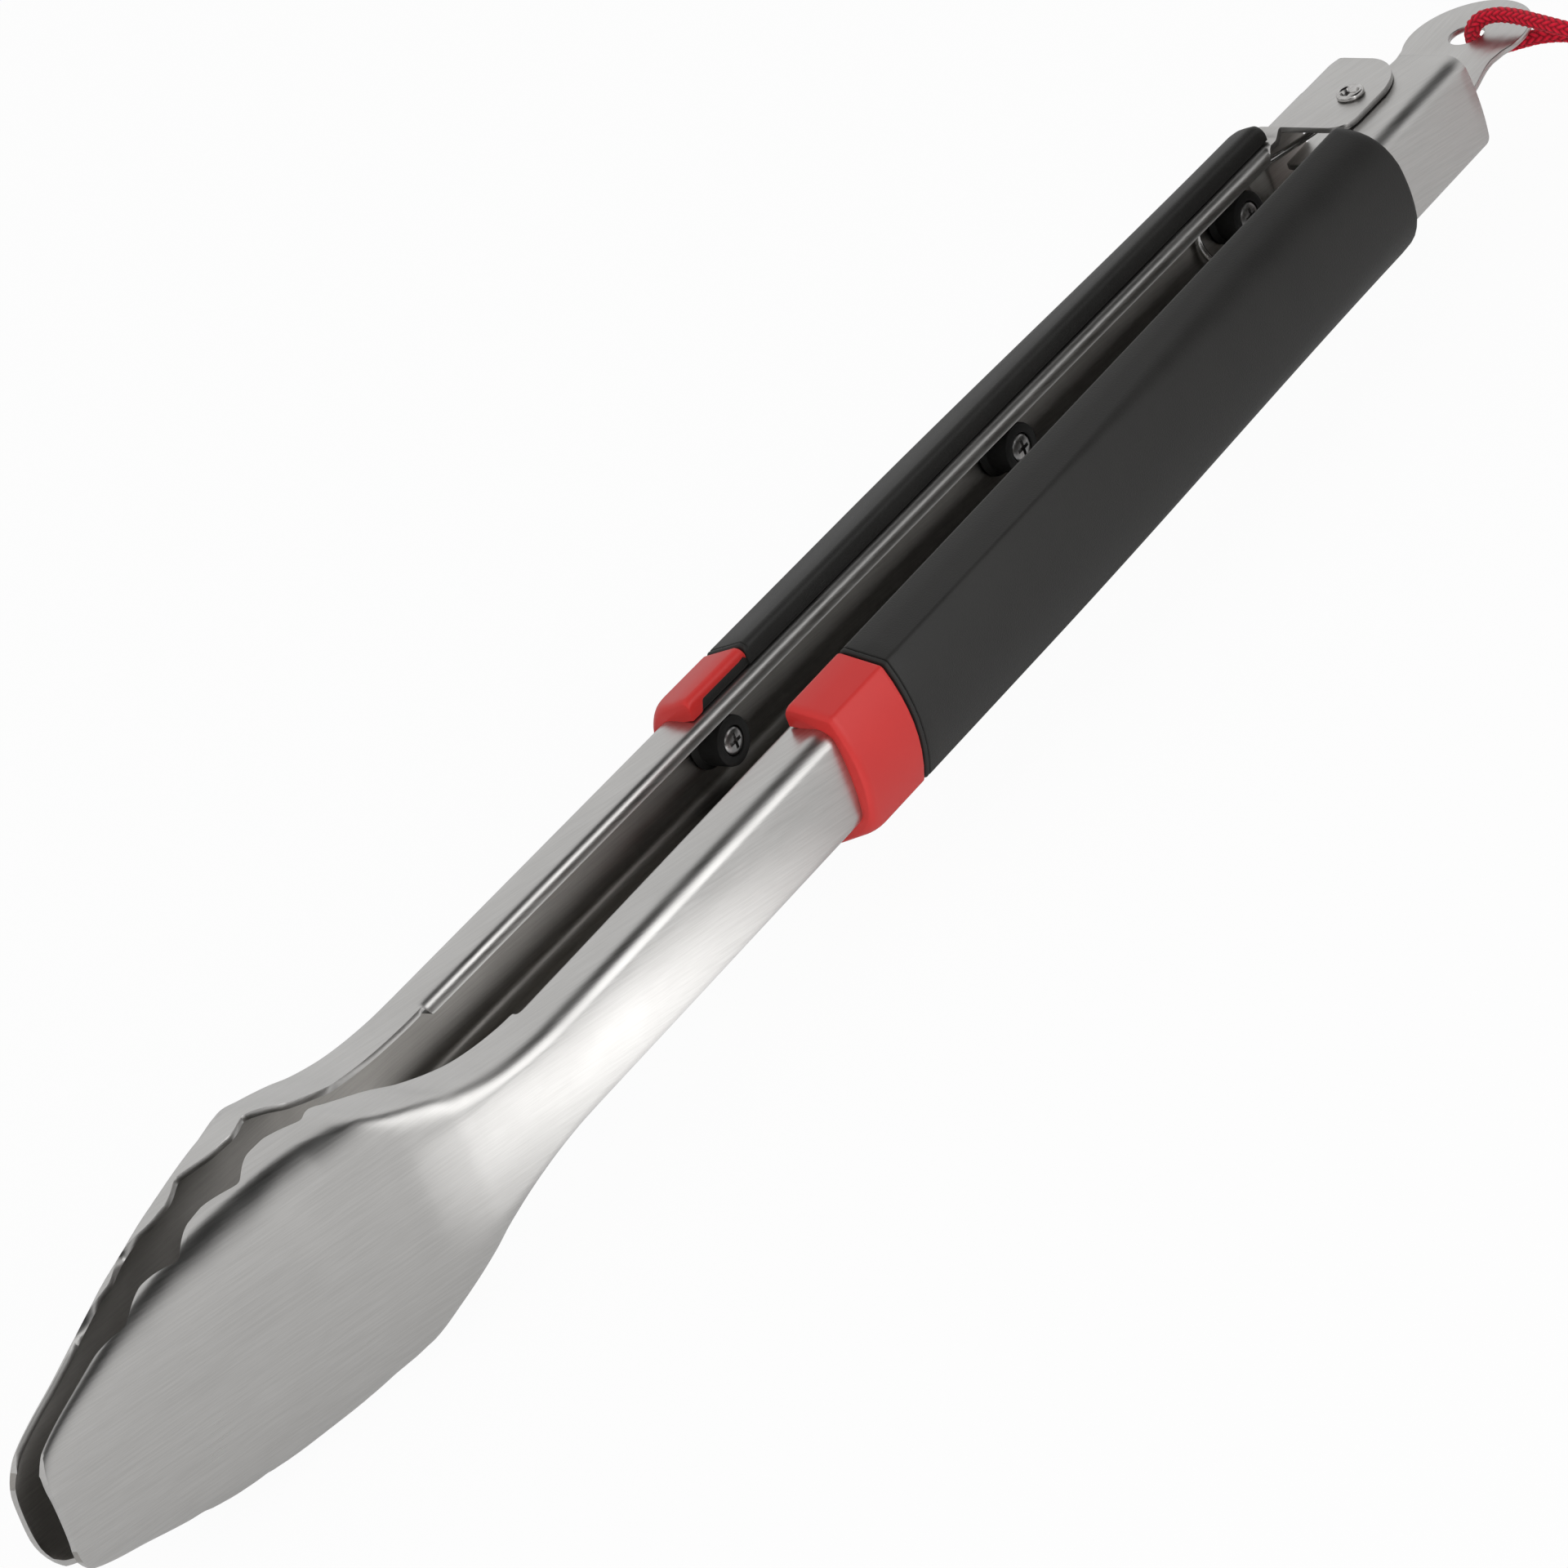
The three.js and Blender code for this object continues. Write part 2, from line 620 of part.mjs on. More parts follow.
// The origin is the middle of the underside, the cord and knot left out
tongs.updateMatrixWorld(true);
const bounds = new THREE.Box3().setFromObject(tongs, true);
const middle = bounds.getCenter(new THREE.Vector3());
tongs.position.set(-middle.x, -middle.y, -bounds.min.z);
console.log("hinge axis at", tongs.position.toArray().map((v) => v.toFixed(3)).join(" "));

tongs.add(piece("hang_cord", cord(), cordRed));
tongs.add(piece("cord_knot", knot(), cordRed));

export default tongs;
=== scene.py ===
import math

import bpy
from mathutils import Matrix, Vector


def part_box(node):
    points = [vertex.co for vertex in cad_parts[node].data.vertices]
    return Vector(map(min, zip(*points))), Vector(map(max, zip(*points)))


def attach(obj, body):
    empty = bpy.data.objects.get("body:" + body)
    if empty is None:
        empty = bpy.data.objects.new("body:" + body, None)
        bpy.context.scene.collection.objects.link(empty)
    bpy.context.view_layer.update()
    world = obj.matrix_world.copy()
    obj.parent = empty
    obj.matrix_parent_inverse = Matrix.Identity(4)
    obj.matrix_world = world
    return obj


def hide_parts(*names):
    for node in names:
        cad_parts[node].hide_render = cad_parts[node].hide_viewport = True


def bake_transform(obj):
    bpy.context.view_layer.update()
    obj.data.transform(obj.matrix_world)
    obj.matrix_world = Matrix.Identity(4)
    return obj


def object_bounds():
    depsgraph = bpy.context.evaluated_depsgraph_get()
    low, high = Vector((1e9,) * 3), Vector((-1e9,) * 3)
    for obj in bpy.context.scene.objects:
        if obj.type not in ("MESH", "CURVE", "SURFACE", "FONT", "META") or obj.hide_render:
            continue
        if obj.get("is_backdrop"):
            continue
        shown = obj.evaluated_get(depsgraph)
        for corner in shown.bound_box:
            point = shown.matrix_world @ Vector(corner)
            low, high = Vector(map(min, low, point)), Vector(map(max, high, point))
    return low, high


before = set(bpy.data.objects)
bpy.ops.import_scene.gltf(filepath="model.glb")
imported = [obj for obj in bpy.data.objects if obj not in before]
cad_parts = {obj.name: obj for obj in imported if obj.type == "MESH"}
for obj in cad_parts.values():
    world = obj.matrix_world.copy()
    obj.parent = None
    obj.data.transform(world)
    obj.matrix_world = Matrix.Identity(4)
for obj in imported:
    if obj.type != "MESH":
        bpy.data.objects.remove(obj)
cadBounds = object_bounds()
scene = bpy.context.scene

# Lengths below are in millimetres from the hinge axis: X towards the heads, Z along the axis.
mm = 0.001
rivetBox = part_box("hinge_rivet")
hinge = (rivetBox[0] + rivetBox[1]) / 2
restAngle = 0.0232
nearTurn = Matrix.Translation(hinge) @ Matrix.Scale(mm, 4)
farTurn = nearTurn @ Matrix.Rotation(-restAngle, 4, "Z") @ Matrix.Rotation(math.pi, 4, "X")


def atHinge(point):
    return hinge + Vector(point) * mm


def lerp(a, b, share):
    return a + (b - a) * share


def clamp(value, low=0, high=1):
    return min(max(value, low), high)


def ease(share):
    share = clamp(share)
    return share * share * (3 - 2 * share)


# How far a change has come at a place, from its start and over its length
def fade(place, start, length):
    return ease((place - start) / length)


def fractions(count):
    return [i / count for i in range(count + 1)]


def spaced(low, high, pace):
    return [lerp(low, high, share) for share in fractions(max(round((high - low) / pace), 1))]


# Camera: a long lens, turned so that the tongs lie corner to corner
cameraPlace = {
    "target": (216.28, 2.43, 0),
    "distance": 2209.5,
    "azimuth": 43.86,
    "elevation": 27.52,
    "roll": -21.12,
    "lens": 282.3,
}


def makeCamera(place):
    azimuth, elevation = math.radians(place["azimuth"]), math.radians(place["elevation"])
    back = Vector((math.cos(elevation) * math.cos(azimuth), math.cos(elevation) * math.sin(azimuth),
                   math.sin(elevation)))
    right = (-back).cross(Vector((0, 0, 1))).normalized()
    up = right.cross(-back)
    roll = math.radians(place["roll"])
    axes = Matrix((right * math.cos(roll) + up * math.sin(roll), up * math.cos(roll) - right * math.sin(roll),
                   back))
    bpy.ops.object.camera_add()
    camera = bpy.context.active_object
    camera.name = "photoCamera"
    camera.data.lens = place["lens"]
    spot = atHinge(place["target"]) + back * place["distance"] * mm
    camera.matrix_world = Matrix.Translation(spot) @ axes.transposed().to_4x4()
    return camera


scene.camera = makeCamera(cameraPlace)
print("camera placed")


# Material helpers
def addNode(nodes, kind, x, y, **settings):
    node = nodes.new(kind)
    node.location = (x, y)
    for key, value in settings.items():
        setattr(node, key, value)
    return node


# Fills a node's inputs, by number or by name: the output of another node is linked, and a value is set
def feed(node, *numbered, **named):
    inputs = [*enumerate(numbered), *((key.replace("_", " "), value) for key, value in named.items())]
    for key, value in inputs:
        if isinstance(value, bpy.types.NodeSocket):
            node.id_data.links.new(value, node.inputs[key])
        else:
            node.inputs[key].default_value = value


def addMath(nodes, x, y, operation, *values):
    node = addNode(nodes, "ShaderNodeMath", x, y, operation=operation)
    feed(node, *values)
    return node.outputs["Value"]


def addTone(nodes, low, high, mask):
    tone = addNode(nodes, "ShaderNodeMix", -350, 250, data_type="RGBA")
    feed(tone, Factor=mask, A=(*low, 1), B=(*high, 1))
    return tone.outputs["Result"]


def addBump(nodes, height, strength, distance):
    bump = addNode(nodes, "ShaderNodeBump", -350, -250)
    feed(bump, Height=height, Strength=strength, Distance=distance * mm)
    return bump.outputs["Normal"]


def newMaterial(name, **values):
    material = bpy.data.materials.new(name)
    material.use_nodes = True
    nodes = material.node_tree.nodes
    feed(nodes["Principled BSDF"], **values)
    return material, nodes, nodes["Principled BSDF"]


# A node group with its outputs, and with its inputs at their usual values
def newGroup(name, outputs, **inputs):
    group = bpy.data.node_groups.new(name, "ShaderNodeTree")
    for label, value in inputs.items():
        socket = group.interface.new_socket(label, in_out="INPUT", socket_type="NodeSocketFloat")
        socket.default_value = value
    for label in outputs:
        group.interface.new_socket(label, in_out="OUTPUT", socket_type="NodeSocketFloat")
    entry = addNode(group.nodes, "NodeGroupInput", -900, 0)
    leave = addNode(group.nodes, "NodeGroupOutput", 650, 0)
    return group, group.nodes, entry.outputs, leave


# Brushing: fine scratches drawn along one direction, longer streaks among them, and broad cloudy patches
def makeBrushing():
    group, nodes, entry, leave = newGroup("brushing", ("Scratch", "Patch"), Lines=7000, Stretch=0.022, Turn=0,
                                          Patches=60)
    place = addNode(nodes, "ShaderNodeTexCoord", -900, 300)
    spin = addNode(nodes, "ShaderNodeVectorRotate", -700, 200, rotation_type="Y_AXIS")
    feed(spin, Vector=place.outputs["Object"], Angle=entry["Turn"])
    parts = addNode(nodes, "ShaderNodeSeparateXYZ", -500, 400)
    feed(parts, Vector=spin.outputs["Vector"])
    along = addMath(nodes, -300, 400, "MULTIPLY", parts.outputs["X"], entry["Stretch"])
    across = addNode(nodes, "ShaderNodeVectorMath", -500, 200, operation="DOT_PRODUCT")
    feed(across, spin.outputs["Vector"], (0, -0.5, 0.87))
    flat = addNode(nodes, "ShaderNodeCombineXYZ", -150, 300)
    feed(flat, X=along, Y=across.outputs["Value"])
    fine = addNode(nodes, "ShaderNodeTexNoise", 50, 400, noise_dimensions="2D")
    feed(fine, Vector=flat.outputs["Vector"], Scale=entry["Lines"], Detail=2)
    broad = addMath(nodes, -150, 120, "MULTIPLY", entry["Lines"], 0.35)
    streak = addNode(nodes, "ShaderNodeTexNoise", 50, 120, noise_dimensions="2D")
    feed(streak, Vector=flat.outputs["Vector"], Scale=broad, Detail=2)
    both = addNode(nodes, "ShaderNodeMix", 250, 250, data_type="FLOAT")
    feed(both, Factor=0.5, A=fine.outputs["Fac"], B=streak.outputs["Fac"])
    sharp = addNode(nodes, "ShaderNodeMapRange", 400, 250)
    feed(sharp, Value=both.outputs["Result"], From_Min=0.36, From_Max=0.64)
    cloud = addNode(nodes, "ShaderNodeTexNoise", -250, -100)
    feed(cloud, Vector=place.outputs["Object"], Scale=entry["Patches"], Detail=4)
    feed(leave, Scratch=sharp.outputs["Result"], Patch=cloud.outputs["Fac"])
    return group


# Moulded grain: the pebbled surface of moulded plastic, with a little dust in it
def makeGrain():
    group, nodes, entry, leave = newGroup("mouldGrain", ("Height", "Dust"), Grain=2200, Dust=90)
    place = addNode(nodes, "ShaderNodeTexCoord", -700, 250)
    pebbles = addNode(nodes, "ShaderNodeTexVoronoi", -400, 200, feature="SMOOTH_F1")
    feed(pebbles, Vector=place.outputs["Object"], Scale=entry["Grain"])
    dust = addNode(nodes, "ShaderNodeTexNoise", -400, -100)
    feed(dust, Vector=place.outputs["Object"], Scale=entry["Dust"], Detail=6)
    feed(leave, Height=pebbles.outputs["Distance"], Dust=dust.outputs["Fac"])
    return group


brushing = makeBrushing()
mouldGrain = makeGrain()
scratchDepth, grainDepth = 0.02, 0.05     # at a relief of 1


# Tones are of the bare metal and of its scratches, and rough is the range from patch to patch
def makeSteel(name, dark, light, rough, relief, lines=7000, stretch=0.022, turn=0):
    material, nodes, shader = newMaterial(name, Metallic=1)
    marks = addNode(nodes, "ShaderNodeGroup", -700, 100, node_tree=brushing)
    feed(marks, Lines=lines, Stretch=stretch, Turn=turn)
    scratch = marks.outputs["Scratch"]
    shine = addNode(nodes, "ShaderNodeMapRange", -350, 0)
    feed(shine, Value=marks.outputs["Patch"], From_Min=0.3, From_Max=0.7, To_Min=rough[0], To_Max=rough[1])
    dull = addMath(nodes, -150, 0, "MULTIPLY_ADD", scratch, 0.04, shine.outputs["Result"])
    feed(shader, Base_Color=addTone(nodes, dark, light, scratch), Roughness=dull,
         Normal=addBump(nodes, scratch, relief, scratchDepth))
    return material


def makePlastic(name, clean, dusty, rough, relief, grain, gloss):
    material, nodes, shader = newMaterial(name, Specular_IOR_Level=gloss)
    skin = addNode(nodes, "ShaderNodeGroup", -700, 100, node_tree=mouldGrain)
    feed(skin, Grain=grain)
    dust = skin.outputs["Dust"]
    shine = addNode(nodes, "ShaderNodeMapRange", -350, 0)
    feed(shine, Value=dust, To_Min=rough[0], To_Max=rough[1])
    feed(shader, Base_Color=addTone(nodes, clean, dusty, dust), Roughness=shine.outputs["Result"],
         Normal=addBump(nodes, skin.outputs["Height"], relief, grainDepth))
    return material


armSteel = makeSteel("brushedArmSteel", (0.475, 0.468, 0.457), (0.53, 0.523, 0.512),
                     rough=(0.27, 0.37), relief=0.1, turn=0.2)
# The channel's inner side gets a darker, warmer copy of the arm steel: painted shade inside the channel
shadedInsideSteel = makeSteel("shadedInsideArmSteel", (0.32, 0.307, 0.29), (0.38, 0.365, 0.345),
                        rough=(0.34, 0.44), relief=0.15, turn=0.1)
sliderSteel = makeSteel("brushedSliderSteel", (0.49, 0.483, 0.472), (0.545, 0.538, 0.527),
                        rough=(0.27, 0.37), relief=0.1)
springSteel = makeSteel("drawnSpringWire", (0.6, 0.6, 0.59), (0.74, 0.73, 0.72),
                        rough=(0.14, 0.22), relief=0.05, lines=3000, stretch=0.3)
rivetSteel = makeSteel("turnedRivetSteel", (0.42, 0.41, 0.4), (0.56, 0.55, 0.54),
                       rough=(0.12, 0.2), relief=0.2, lines=1800, stretch=1)
screwSteel = makeSteel("platedScrewSteel", (0.3, 0.3, 0.3), (0.48, 0.47, 0.46),
                       rough=(0.25, 0.4), relief=0.3, lines=1800, stretch=1)
gripBlack = makePlastic("mouldedBlack", (0.01, 0.0098, 0.0092), (0.022, 0.0214, 0.02),
                        rough=(0.46, 0.58), relief=0.7, grain=4200, gloss=0.32)
bossBlack = makePlastic("bossBlack", (0.01, 0.01, 0.01), (0.018, 0.018, 0.017),
                        rough=(0.5, 0.65), relief=0.3, grain=1800, gloss=0.3)
collarRed = makePlastic("mouldedRed", (0.57, 0.022, 0.02), (0.63, 0.03, 0.026),
                        rough=(0.38, 0.48), relief=0.1, grain=4600, gloss=0.4)
print("metal and plastic finishes made")


# Modelling helpers
def deselect():
    if bpy.context.object and bpy.context.object.mode != "OBJECT":
        bpy.ops.object.mode_set(mode="OBJECT")
    bpy.ops.object.select_all(action="DESELECT")


def pick(obj):
    deselect()
    obj.select_set(True)
    bpy.context.view_layer.objects.active = obj


# Names what a modelling tool has just made
def named(name):
    obj = bpy.context.active_object
    obj.name = obj.data.name = name
    return obj


def startEdit(obj):
    pick(obj)
    bpy.ops.object.mode_set(mode="EDIT")
    bpy.ops.mesh.select_all(action="SELECT")


def endEdit():
    bpy.ops.object.mode_set(mode="OBJECT")


def applyModifier(obj, kind, **settings):
    pick(obj)
    modifier = obj.modifiers.new(kind.lower(), kind)
    for key, value in settings.items():
        setattr(modifier, key, value)
    bpy.ops.object.modifier_apply(modifier=modifier.name)


# Slices off all of the edited piece that lies outwards of a plane
def sliceOff(place, outwards):
    bpy.ops.mesh.select_all(action="SELECT")
    bpy.ops.mesh.bisect(plane_co=place, plane_no=outwards, use_fill=True, clear_outer=True)


def addBlock(place, size):
    deselect()
    bpy.ops.mesh.primitive_cube_add(size=1, location=place)
    solid = bpy.context.active_object
    solid.scale = size
    bpy.ops.object.transform_apply(location=True, scale=True)
    return solid


# Enters edit mode with the faces selected whose centre passes a test
def selectFaces(obj, test):
    startEdit(obj)
    bpy.ops.mesh.select_mode(type="FACE")
    bpy.ops.mesh.select_all(action="DESELECT")
    endEdit()
    obj.data.polygons.foreach_set("select", [bool(test(face.center)) for face in obj.data.polygons])
    bpy.ops.object.mode_set(mode="EDIT")


# Merges seams, fills the open ends and turns every face outwards
def closeShell(seam):
    bpy.ops.mesh.select_mode(type="VERT")
    bpy.ops.mesh.select_all(action="SELECT")
    bpy.ops.mesh.remove_doubles(threshold=seam)
    bpy.ops.mesh.select_all(action="DESELECT")
    bpy.ops.mesh.select_non_manifold(extend=False)
    bpy.ops.mesh.fill_holes(sides=0)
    bpy.ops.mesh.select_all(action="SELECT")
    bpy.ops.mesh.normals_make_consistent(inside=False)
    endEdit()


def addRelief(obj, values):
    obj.data.attributes.new("relief", "FLOAT", "POINT").data.foreach_set("value", values)


# A flat grid whose rows are laid on given lines of points
def shapedGrid(name, rows, valueAt=None):
    deselect()
    across, along = len(rows[0]), len(rows)
    bpy.ops.mesh.primitive_grid_add(x_subdivisions=across - 1, y_subdivisions=along - 1, size=1)
    obj = named(name)
    places = [(round((vertex.co.y + 0.5) * (along - 1)), round((vertex.co.x + 0.5) * (across - 1)))
              for vertex in obj.data.vertices]
    for vertex, (row, place) in zip(obj.data.vertices, places):
        vertex.co = rows[row][place]
    if valueAt:
        addRelief(obj, [valueAt(row, place) for row, place in places])
    return obj


# A grid closed round into a sleeve or tube, with its ends filled
def closedGrid(name, rows, valueAt=None):
    obj = shapedGrid(name, [[*row, row[0]] for row in rows], valueAt)
    startEdit(obj)
    closeShell(seam=0.001)
    return obj


# A turned piece about Z: a ring is extruded and resized from one step of its profile to the next
def turnedPiece(name, profile, vertices=48):
    deselect()
    (radius, height), *steps = [(max(radius, 0.001), height) for radius, height in profile]
    bpy.ops.mesh.primitive_circle_add(vertices=vertices, radius=radius, location=(0, 0, height),
                                      fill_type="NOTHING")
    obj = named(name)
    bpy.ops.object.transform_apply(location=True)
    startEdit(obj)
    for nextRadius, nextHeight in steps:
        bpy.ops.mesh.extrude_region_move(TRANSFORM_OT_translate={"value": (0, 0, nextHeight - height)})
        size = nextRadius / radius
        bpy.ops.transform.resize(value=(size, size, 1), center_override=(0, 0, nextHeight))
        radius, height = nextRadius, nextHeight
    closeShell(seam=0.003)
    return obj


def cutAway(obj, cutter):
    pick(obj)
    cut = obj.modifiers.new("cut", "BOOLEAN")
    cut.object = cutter
    cut.solver = "EXACT"
    bpy.ops.object.modifier_apply(modifier="cut")
    bpy.data.objects.remove(cutter)


# Rounds a piece's edges, puts it in its place and gives it its material
def finishPiece(obj, turn, *materials, bevel=0, segments=2, sharp=40, smooth=35):
    if bevel:
        applyModifier(obj, "BEVEL", width=bevel, segments=segments, limit_method="ANGLE",
                      angle_limit=math.radians(sharp))
    pick(obj)
    obj.data.transform(turn)
    bpy.ops.object.shade_smooth_by_angle(angle=math.radians(smooth))
    for material in materials:
        obj.data.materials.append(material)
    return obj


def copyPiece(obj, name, turn):
    pick(obj)
    bpy.ops.object.duplicate()
    twin = named(name)
    twin.data.transform(turn)
    return twin


def standIn(obj, body, slot, *nodes):
    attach(obj, body)
    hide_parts(*nodes)


# A point at a share of the way from start to end, both of them passed at given slopes
def hermite(start, leave, end, reach, t):
    return (start * (2 * t ** 3 - 3 * t * t + 1) + leave * (t ** 3 - 2 * t * t + t)
            + end * (3 * t * t - 2 * t ** 3) + reach * (t ** 3 - t * t))


# Smooth curve through points, spaced evenly in steps between them
def smoothCurve(points, steps):
    points = [Vector(p) for p in points]
    ends = [points[0] * 2 - points[1], *points, points[-1] * 2 - points[-2]]
    line = []
    for before, start, end, after in zip(ends, ends[1:], ends[2:], ends[3:]):
        first, middle, last = [max((b - a).length ** 0.5, 1e-4)
                               for a, b in ((before, start), (start, end), (end, after))]
        leave = (start - before) / first - (end - before) / (first + middle) + (end - start) / middle
        reach = (end - start) / middle - (after - start) / (middle + last) + (after - end) / last
        line += [hermite(start, leave * middle, end, reach * middle, i / steps) for i in range(steps)]
    return [*line, points[-1]]


# Points of a flat curve that four points draw, at given shares of the way
def bezier(points, shares):
    line = []
    for t in shares:
        weights = [(1 - t) ** 3, 3 * t * (1 - t) ** 2, 3 * t * t * (1 - t), t ** 3]
        line.append(tuple(sum(w * p[k] for w, p in zip(weights, points)) for k in (0, 1)))
    return line


def lengthsAlong(line):
    lengths = [0]
    for a, b in zip(line, line[1:]):
        lengths.append(lengths[-1] + (b - a).length)
    return lengths


# Points on a line at growing lengths from its start
def pointsAt(line, lengths, goals):
    found, i = [], 0
    for goal in goals:
        while i < len(line) - 2 and lengths[i + 1] < goal:
            i += 1
        share = (goal - lengths[i]) / max(lengths[i + 1] - lengths[i], 1e-9)
        found.append(line[i].lerp(line[i + 1], clamp(share)))
    return found


def evenly(line, pace):
    lengths = lengthsAlong(line)
    count = round(lengths[-1] / pace)
    return pointsAt(line, lengths, [lengths[-1] * step / count for step in range(count + 1)])


# The picked points of a line, moved along it so that a length is taken off its start
def trimmed(line, picks, cut):
    lengths = lengthsAlong(line)
    return pointsAt(line, lengths, [lerp(cut, lengths[-1], lengths[k] / lengths[-1]) for k in picks])


# Rings round a line, each turned as little as it can be from the one before
def ringsRound(line, sides, radiusAt):
    across = (line[1] - line[0]).orthogonal().normalized()
    rows = []
    for k, point in enumerate(line):
        forward = (line[min(k + 1, len(line) - 1)] - line[max(k - 1, 0)]).normalized()
        across = (across - forward * across.dot(forward)).normalized()
        other = forward.cross(across)
        rows.append([point + (across * math.cos(turn) + other * math.sin(turn)) * radiusAt(k, turn)
                     for turn in (math.tau * side / sides for side in range(sides))])
    return rows


# Hanging cord
cordShape = {
    "diameter": 3,
    "length": 176.4,
    "pace": 0.2,
    "curveSteps": 24,     # between two points of the route
    "sides": 48,
    "strands": 8,      # braid strands that run each way round
    "pitch": 12.5,     # length of one turn of a strand
    "strandRise": 0.36,
    "strandProud": 0.12,     # of the braid's crests over the plain cord
    "exit": (-92.3, 34.3, -22),     # the cord is a loop, and both its ends are in the knot
}
cordRoute = [
    (-92, 36.2, -22), (-89.5, 36.2, -22), (-85, 37, -23.6), (-79, 39, -24.5), (-71.5, 41.3, -24.5),
    (-63.5, 42.3, -22.5), (-56, 41.3, -17.5), (-49.5, 38.5, -11), (-44, 34, -4.4), (-40.5, 28.5, 0.6),
    (-39.1, 22.4, 3.3), (-39.9, 16.3, 4.3), (-41, 10.5, 4.8), (-41.2, 6.6, 4.9), (-40.8, 3.2, 4.3),
    (-40.4, 1.2, 2.9), (-40.8, -0.3, 0.6), (-41.3, -0.5, -1.4), (-42.3, 1.1, -3), (-43.7, 4, -3.5),
    (-45.2, 7, -3.4), (-46.6, 10.7, -3.2), (-48.6, 15, -4), (-52, 20, -7.2), (-55.8, 25, -13),
    (-60.5, 29, -19), (-66, 31.2, -23.2), (-73, 32, -24.5), (-80, 32, -24.5), (-85.5, 32.2, -23.4),
    (-89.5, 32.4, -22), (-92, 32.4, -22),
]
knotShape = {
    "place": cordShape["exit"],
    "profile": [(0, 0), (3.4, 0), (4, 0.5), (4.2, 1.6), (4.15, 4.2), (3.9, 6), (3.3, 7.7), (2.3, 8.9),
                (1, 9.4), (0, 9.5)],
}


# Height of the braid, from 0 in its valleys to 1: each strand passes over two of the other way and under two
def braidHeight(turn, distance, cord):
    oneWay = (turn / math.tau + distance / cord["pitch"]) * cord["strands"]
    otherWay = (turn / math.tau - distance / cord["pitch"]) * cord["strands"]
    place = (math.floor(oneWay) + math.floor(otherWay)) % 4
    if place > 1:
        oneWay, otherWay = otherWay, oneWay
    run = (place % 2 + otherWay - math.floor(otherWay)) / 2
    return abs(math.sin(math.pi * oneWay)) ** 0.8 * (0.3 + 0.7 * math.sin(math.pi * run) ** 0.6)


def makeCordMaterial():
    material, nodes, shader = newMaterial("braidedRedCord", Roughness=0.7, Specular_IOR_Level=0.3,
                                          Sheen_Weight=0.06, Sheen_Roughness=0.5)
    height = addNode(nodes, "ShaderNodeAttribute", -900, 200, attribute_name="relief")
    place = addNode(nodes, "ShaderNodeTexCoord", -900, -100)
    fuzz = addNode(nodes, "ShaderNodeTexNoise", -650, -100)
    feed(fuzz, Vector=place.outputs["Object"], Scale=2600, Detail=4)
    # The braid's valleys are painted much darker than its crests: painted shade between the strands
    tone = addTone(nodes, (0.1, 0.0004, 0.004), (1, 0.009, 0.045), height.outputs["Fac"])
    mottle = addNode(nodes, "ShaderNodeMix", -200, 200, data_type="RGBA", blend_type="MULTIPLY")
    feed(mottle, Factor=0.3, A=tone, B=fuzz.outputs["Fac"])
    feed(shader, Base_Color=mottle.outputs["Result"], Normal=addBump(nodes, fuzz.outputs["Fac"], 0.5, 0.15))
    return material


cordRed = makeCordMaterial()


def makeCord(cord):
    line = evenly(smoothCurve(cordRoute, cord["curveSteps"]), cord["pace"])
    pace = lengthsAlong(line)[-1] / (len(line) - 1)
    radius = cord["diameter"] / 2 + cord["strandProud"]

    def radiusAt(k, turn):
        return radius - cord["strandRise"] * (1 - braidHeight(turn, k * pace, cord))

    # The braid height is also stored for the material's painted shade in the valleys
    obj = closedGrid("hangingCord", ringsRound(line, cord["sides"], radiusAt),
                     lambda k, side: braidHeight(math.tau * side / cord["sides"], k * pace, cord))
    finishPiece(obj, nearTurn, cordRed, smooth=80)
    return obj, line


hangingCord, cordLine = makeCord(cordShape)
cordKnot = turnedPiece("cordKnot", knotShape["profile"])
# The knot gets the braid height too, which paints the same shade into its valleys
addRelief(cordKnot, [braidHeight(math.atan2(vertex.co.y, vertex.co.x), vertex.co.z, cordShape)
                     for vertex in cordKnot.data.vertices])
knotTurn = nearTurn @ Matrix.Translation(knotShape["place"]) @ Matrix.Rotation(-math.pi / 2, 4, "Y")
finishPiece(cordKnot, knotTurn, cordRed)
standIn(hangingCord, "lock_slider", "cord_red", "hang_cord")
standIn(cordKnot, "lock_slider", "cord_red", "cord_knot")
print("cord and knot made")

# Arms: pressed channels whose section changes along the head
armShape = {
    "sheet": 1.2,
    "half": 10.5,
    "depth": 10.25,
    "crown": 1.1,
    "bend": 3.2,
    "headBend": (9, 17),     # along the wall and over the back
    "bendShares": (0.5, 0.9),     # of the wall's height, on the handle and towards the tip
    "backShare": 0.8,     # of the back's half width, the most that its bend takes up
    "bendSteps": 12,
    "fineSteps": 6,     # in each step of the bend, while it is trimmed
    "tipLean": 0.4,
    "lipDrop": 3,
    "lipRadius": 1.9,
    "lipEnd": 301,
    "lipFade": 2.5,
    "headEnd": 439,
    "headHalf": 24.2,
    "tipRound": 12,
    "tipTurn": 50,     # from the front of the tip to its side
    "tipSteps": (0.12, 0.27, 0.42, 0.58, 0.73, 0.88),     # shares of that turn where the corner is sliced
    "headDraft": 1.6,
    "headCrown": 0.5,
    "headDrop": 17.5,
    "edgeRise": 9.2,
    "scallopDepths": (3.1, 3.1, 2.9, 1.8),
    "scallopReach": 6.8,
    "scallopRound": 0.9,
    "edgeRound": 0.22,
    "handleStart": 20,
    "handlePace": 8,
    "headLead": 4,     # before the lip's end, where the rows become close
    "headPace": 0.7,
    "outerSpot": (200, 22, 0),     # outside the back, to tell which way its faces point
    # Start and length of each change along the head, as shares of the head
    "draftFade": (0.5, 0.3),
    "leanFade": (0.68, 0.2),
    "shareFade": (0.4, 0.3),
    "crownFade": (0, 0.4),
    "bendFade": (0.25, 0.35),
    "backFade": (0.12, 0.4),
}
nearEdge, farEdge = 4.65, 9.3
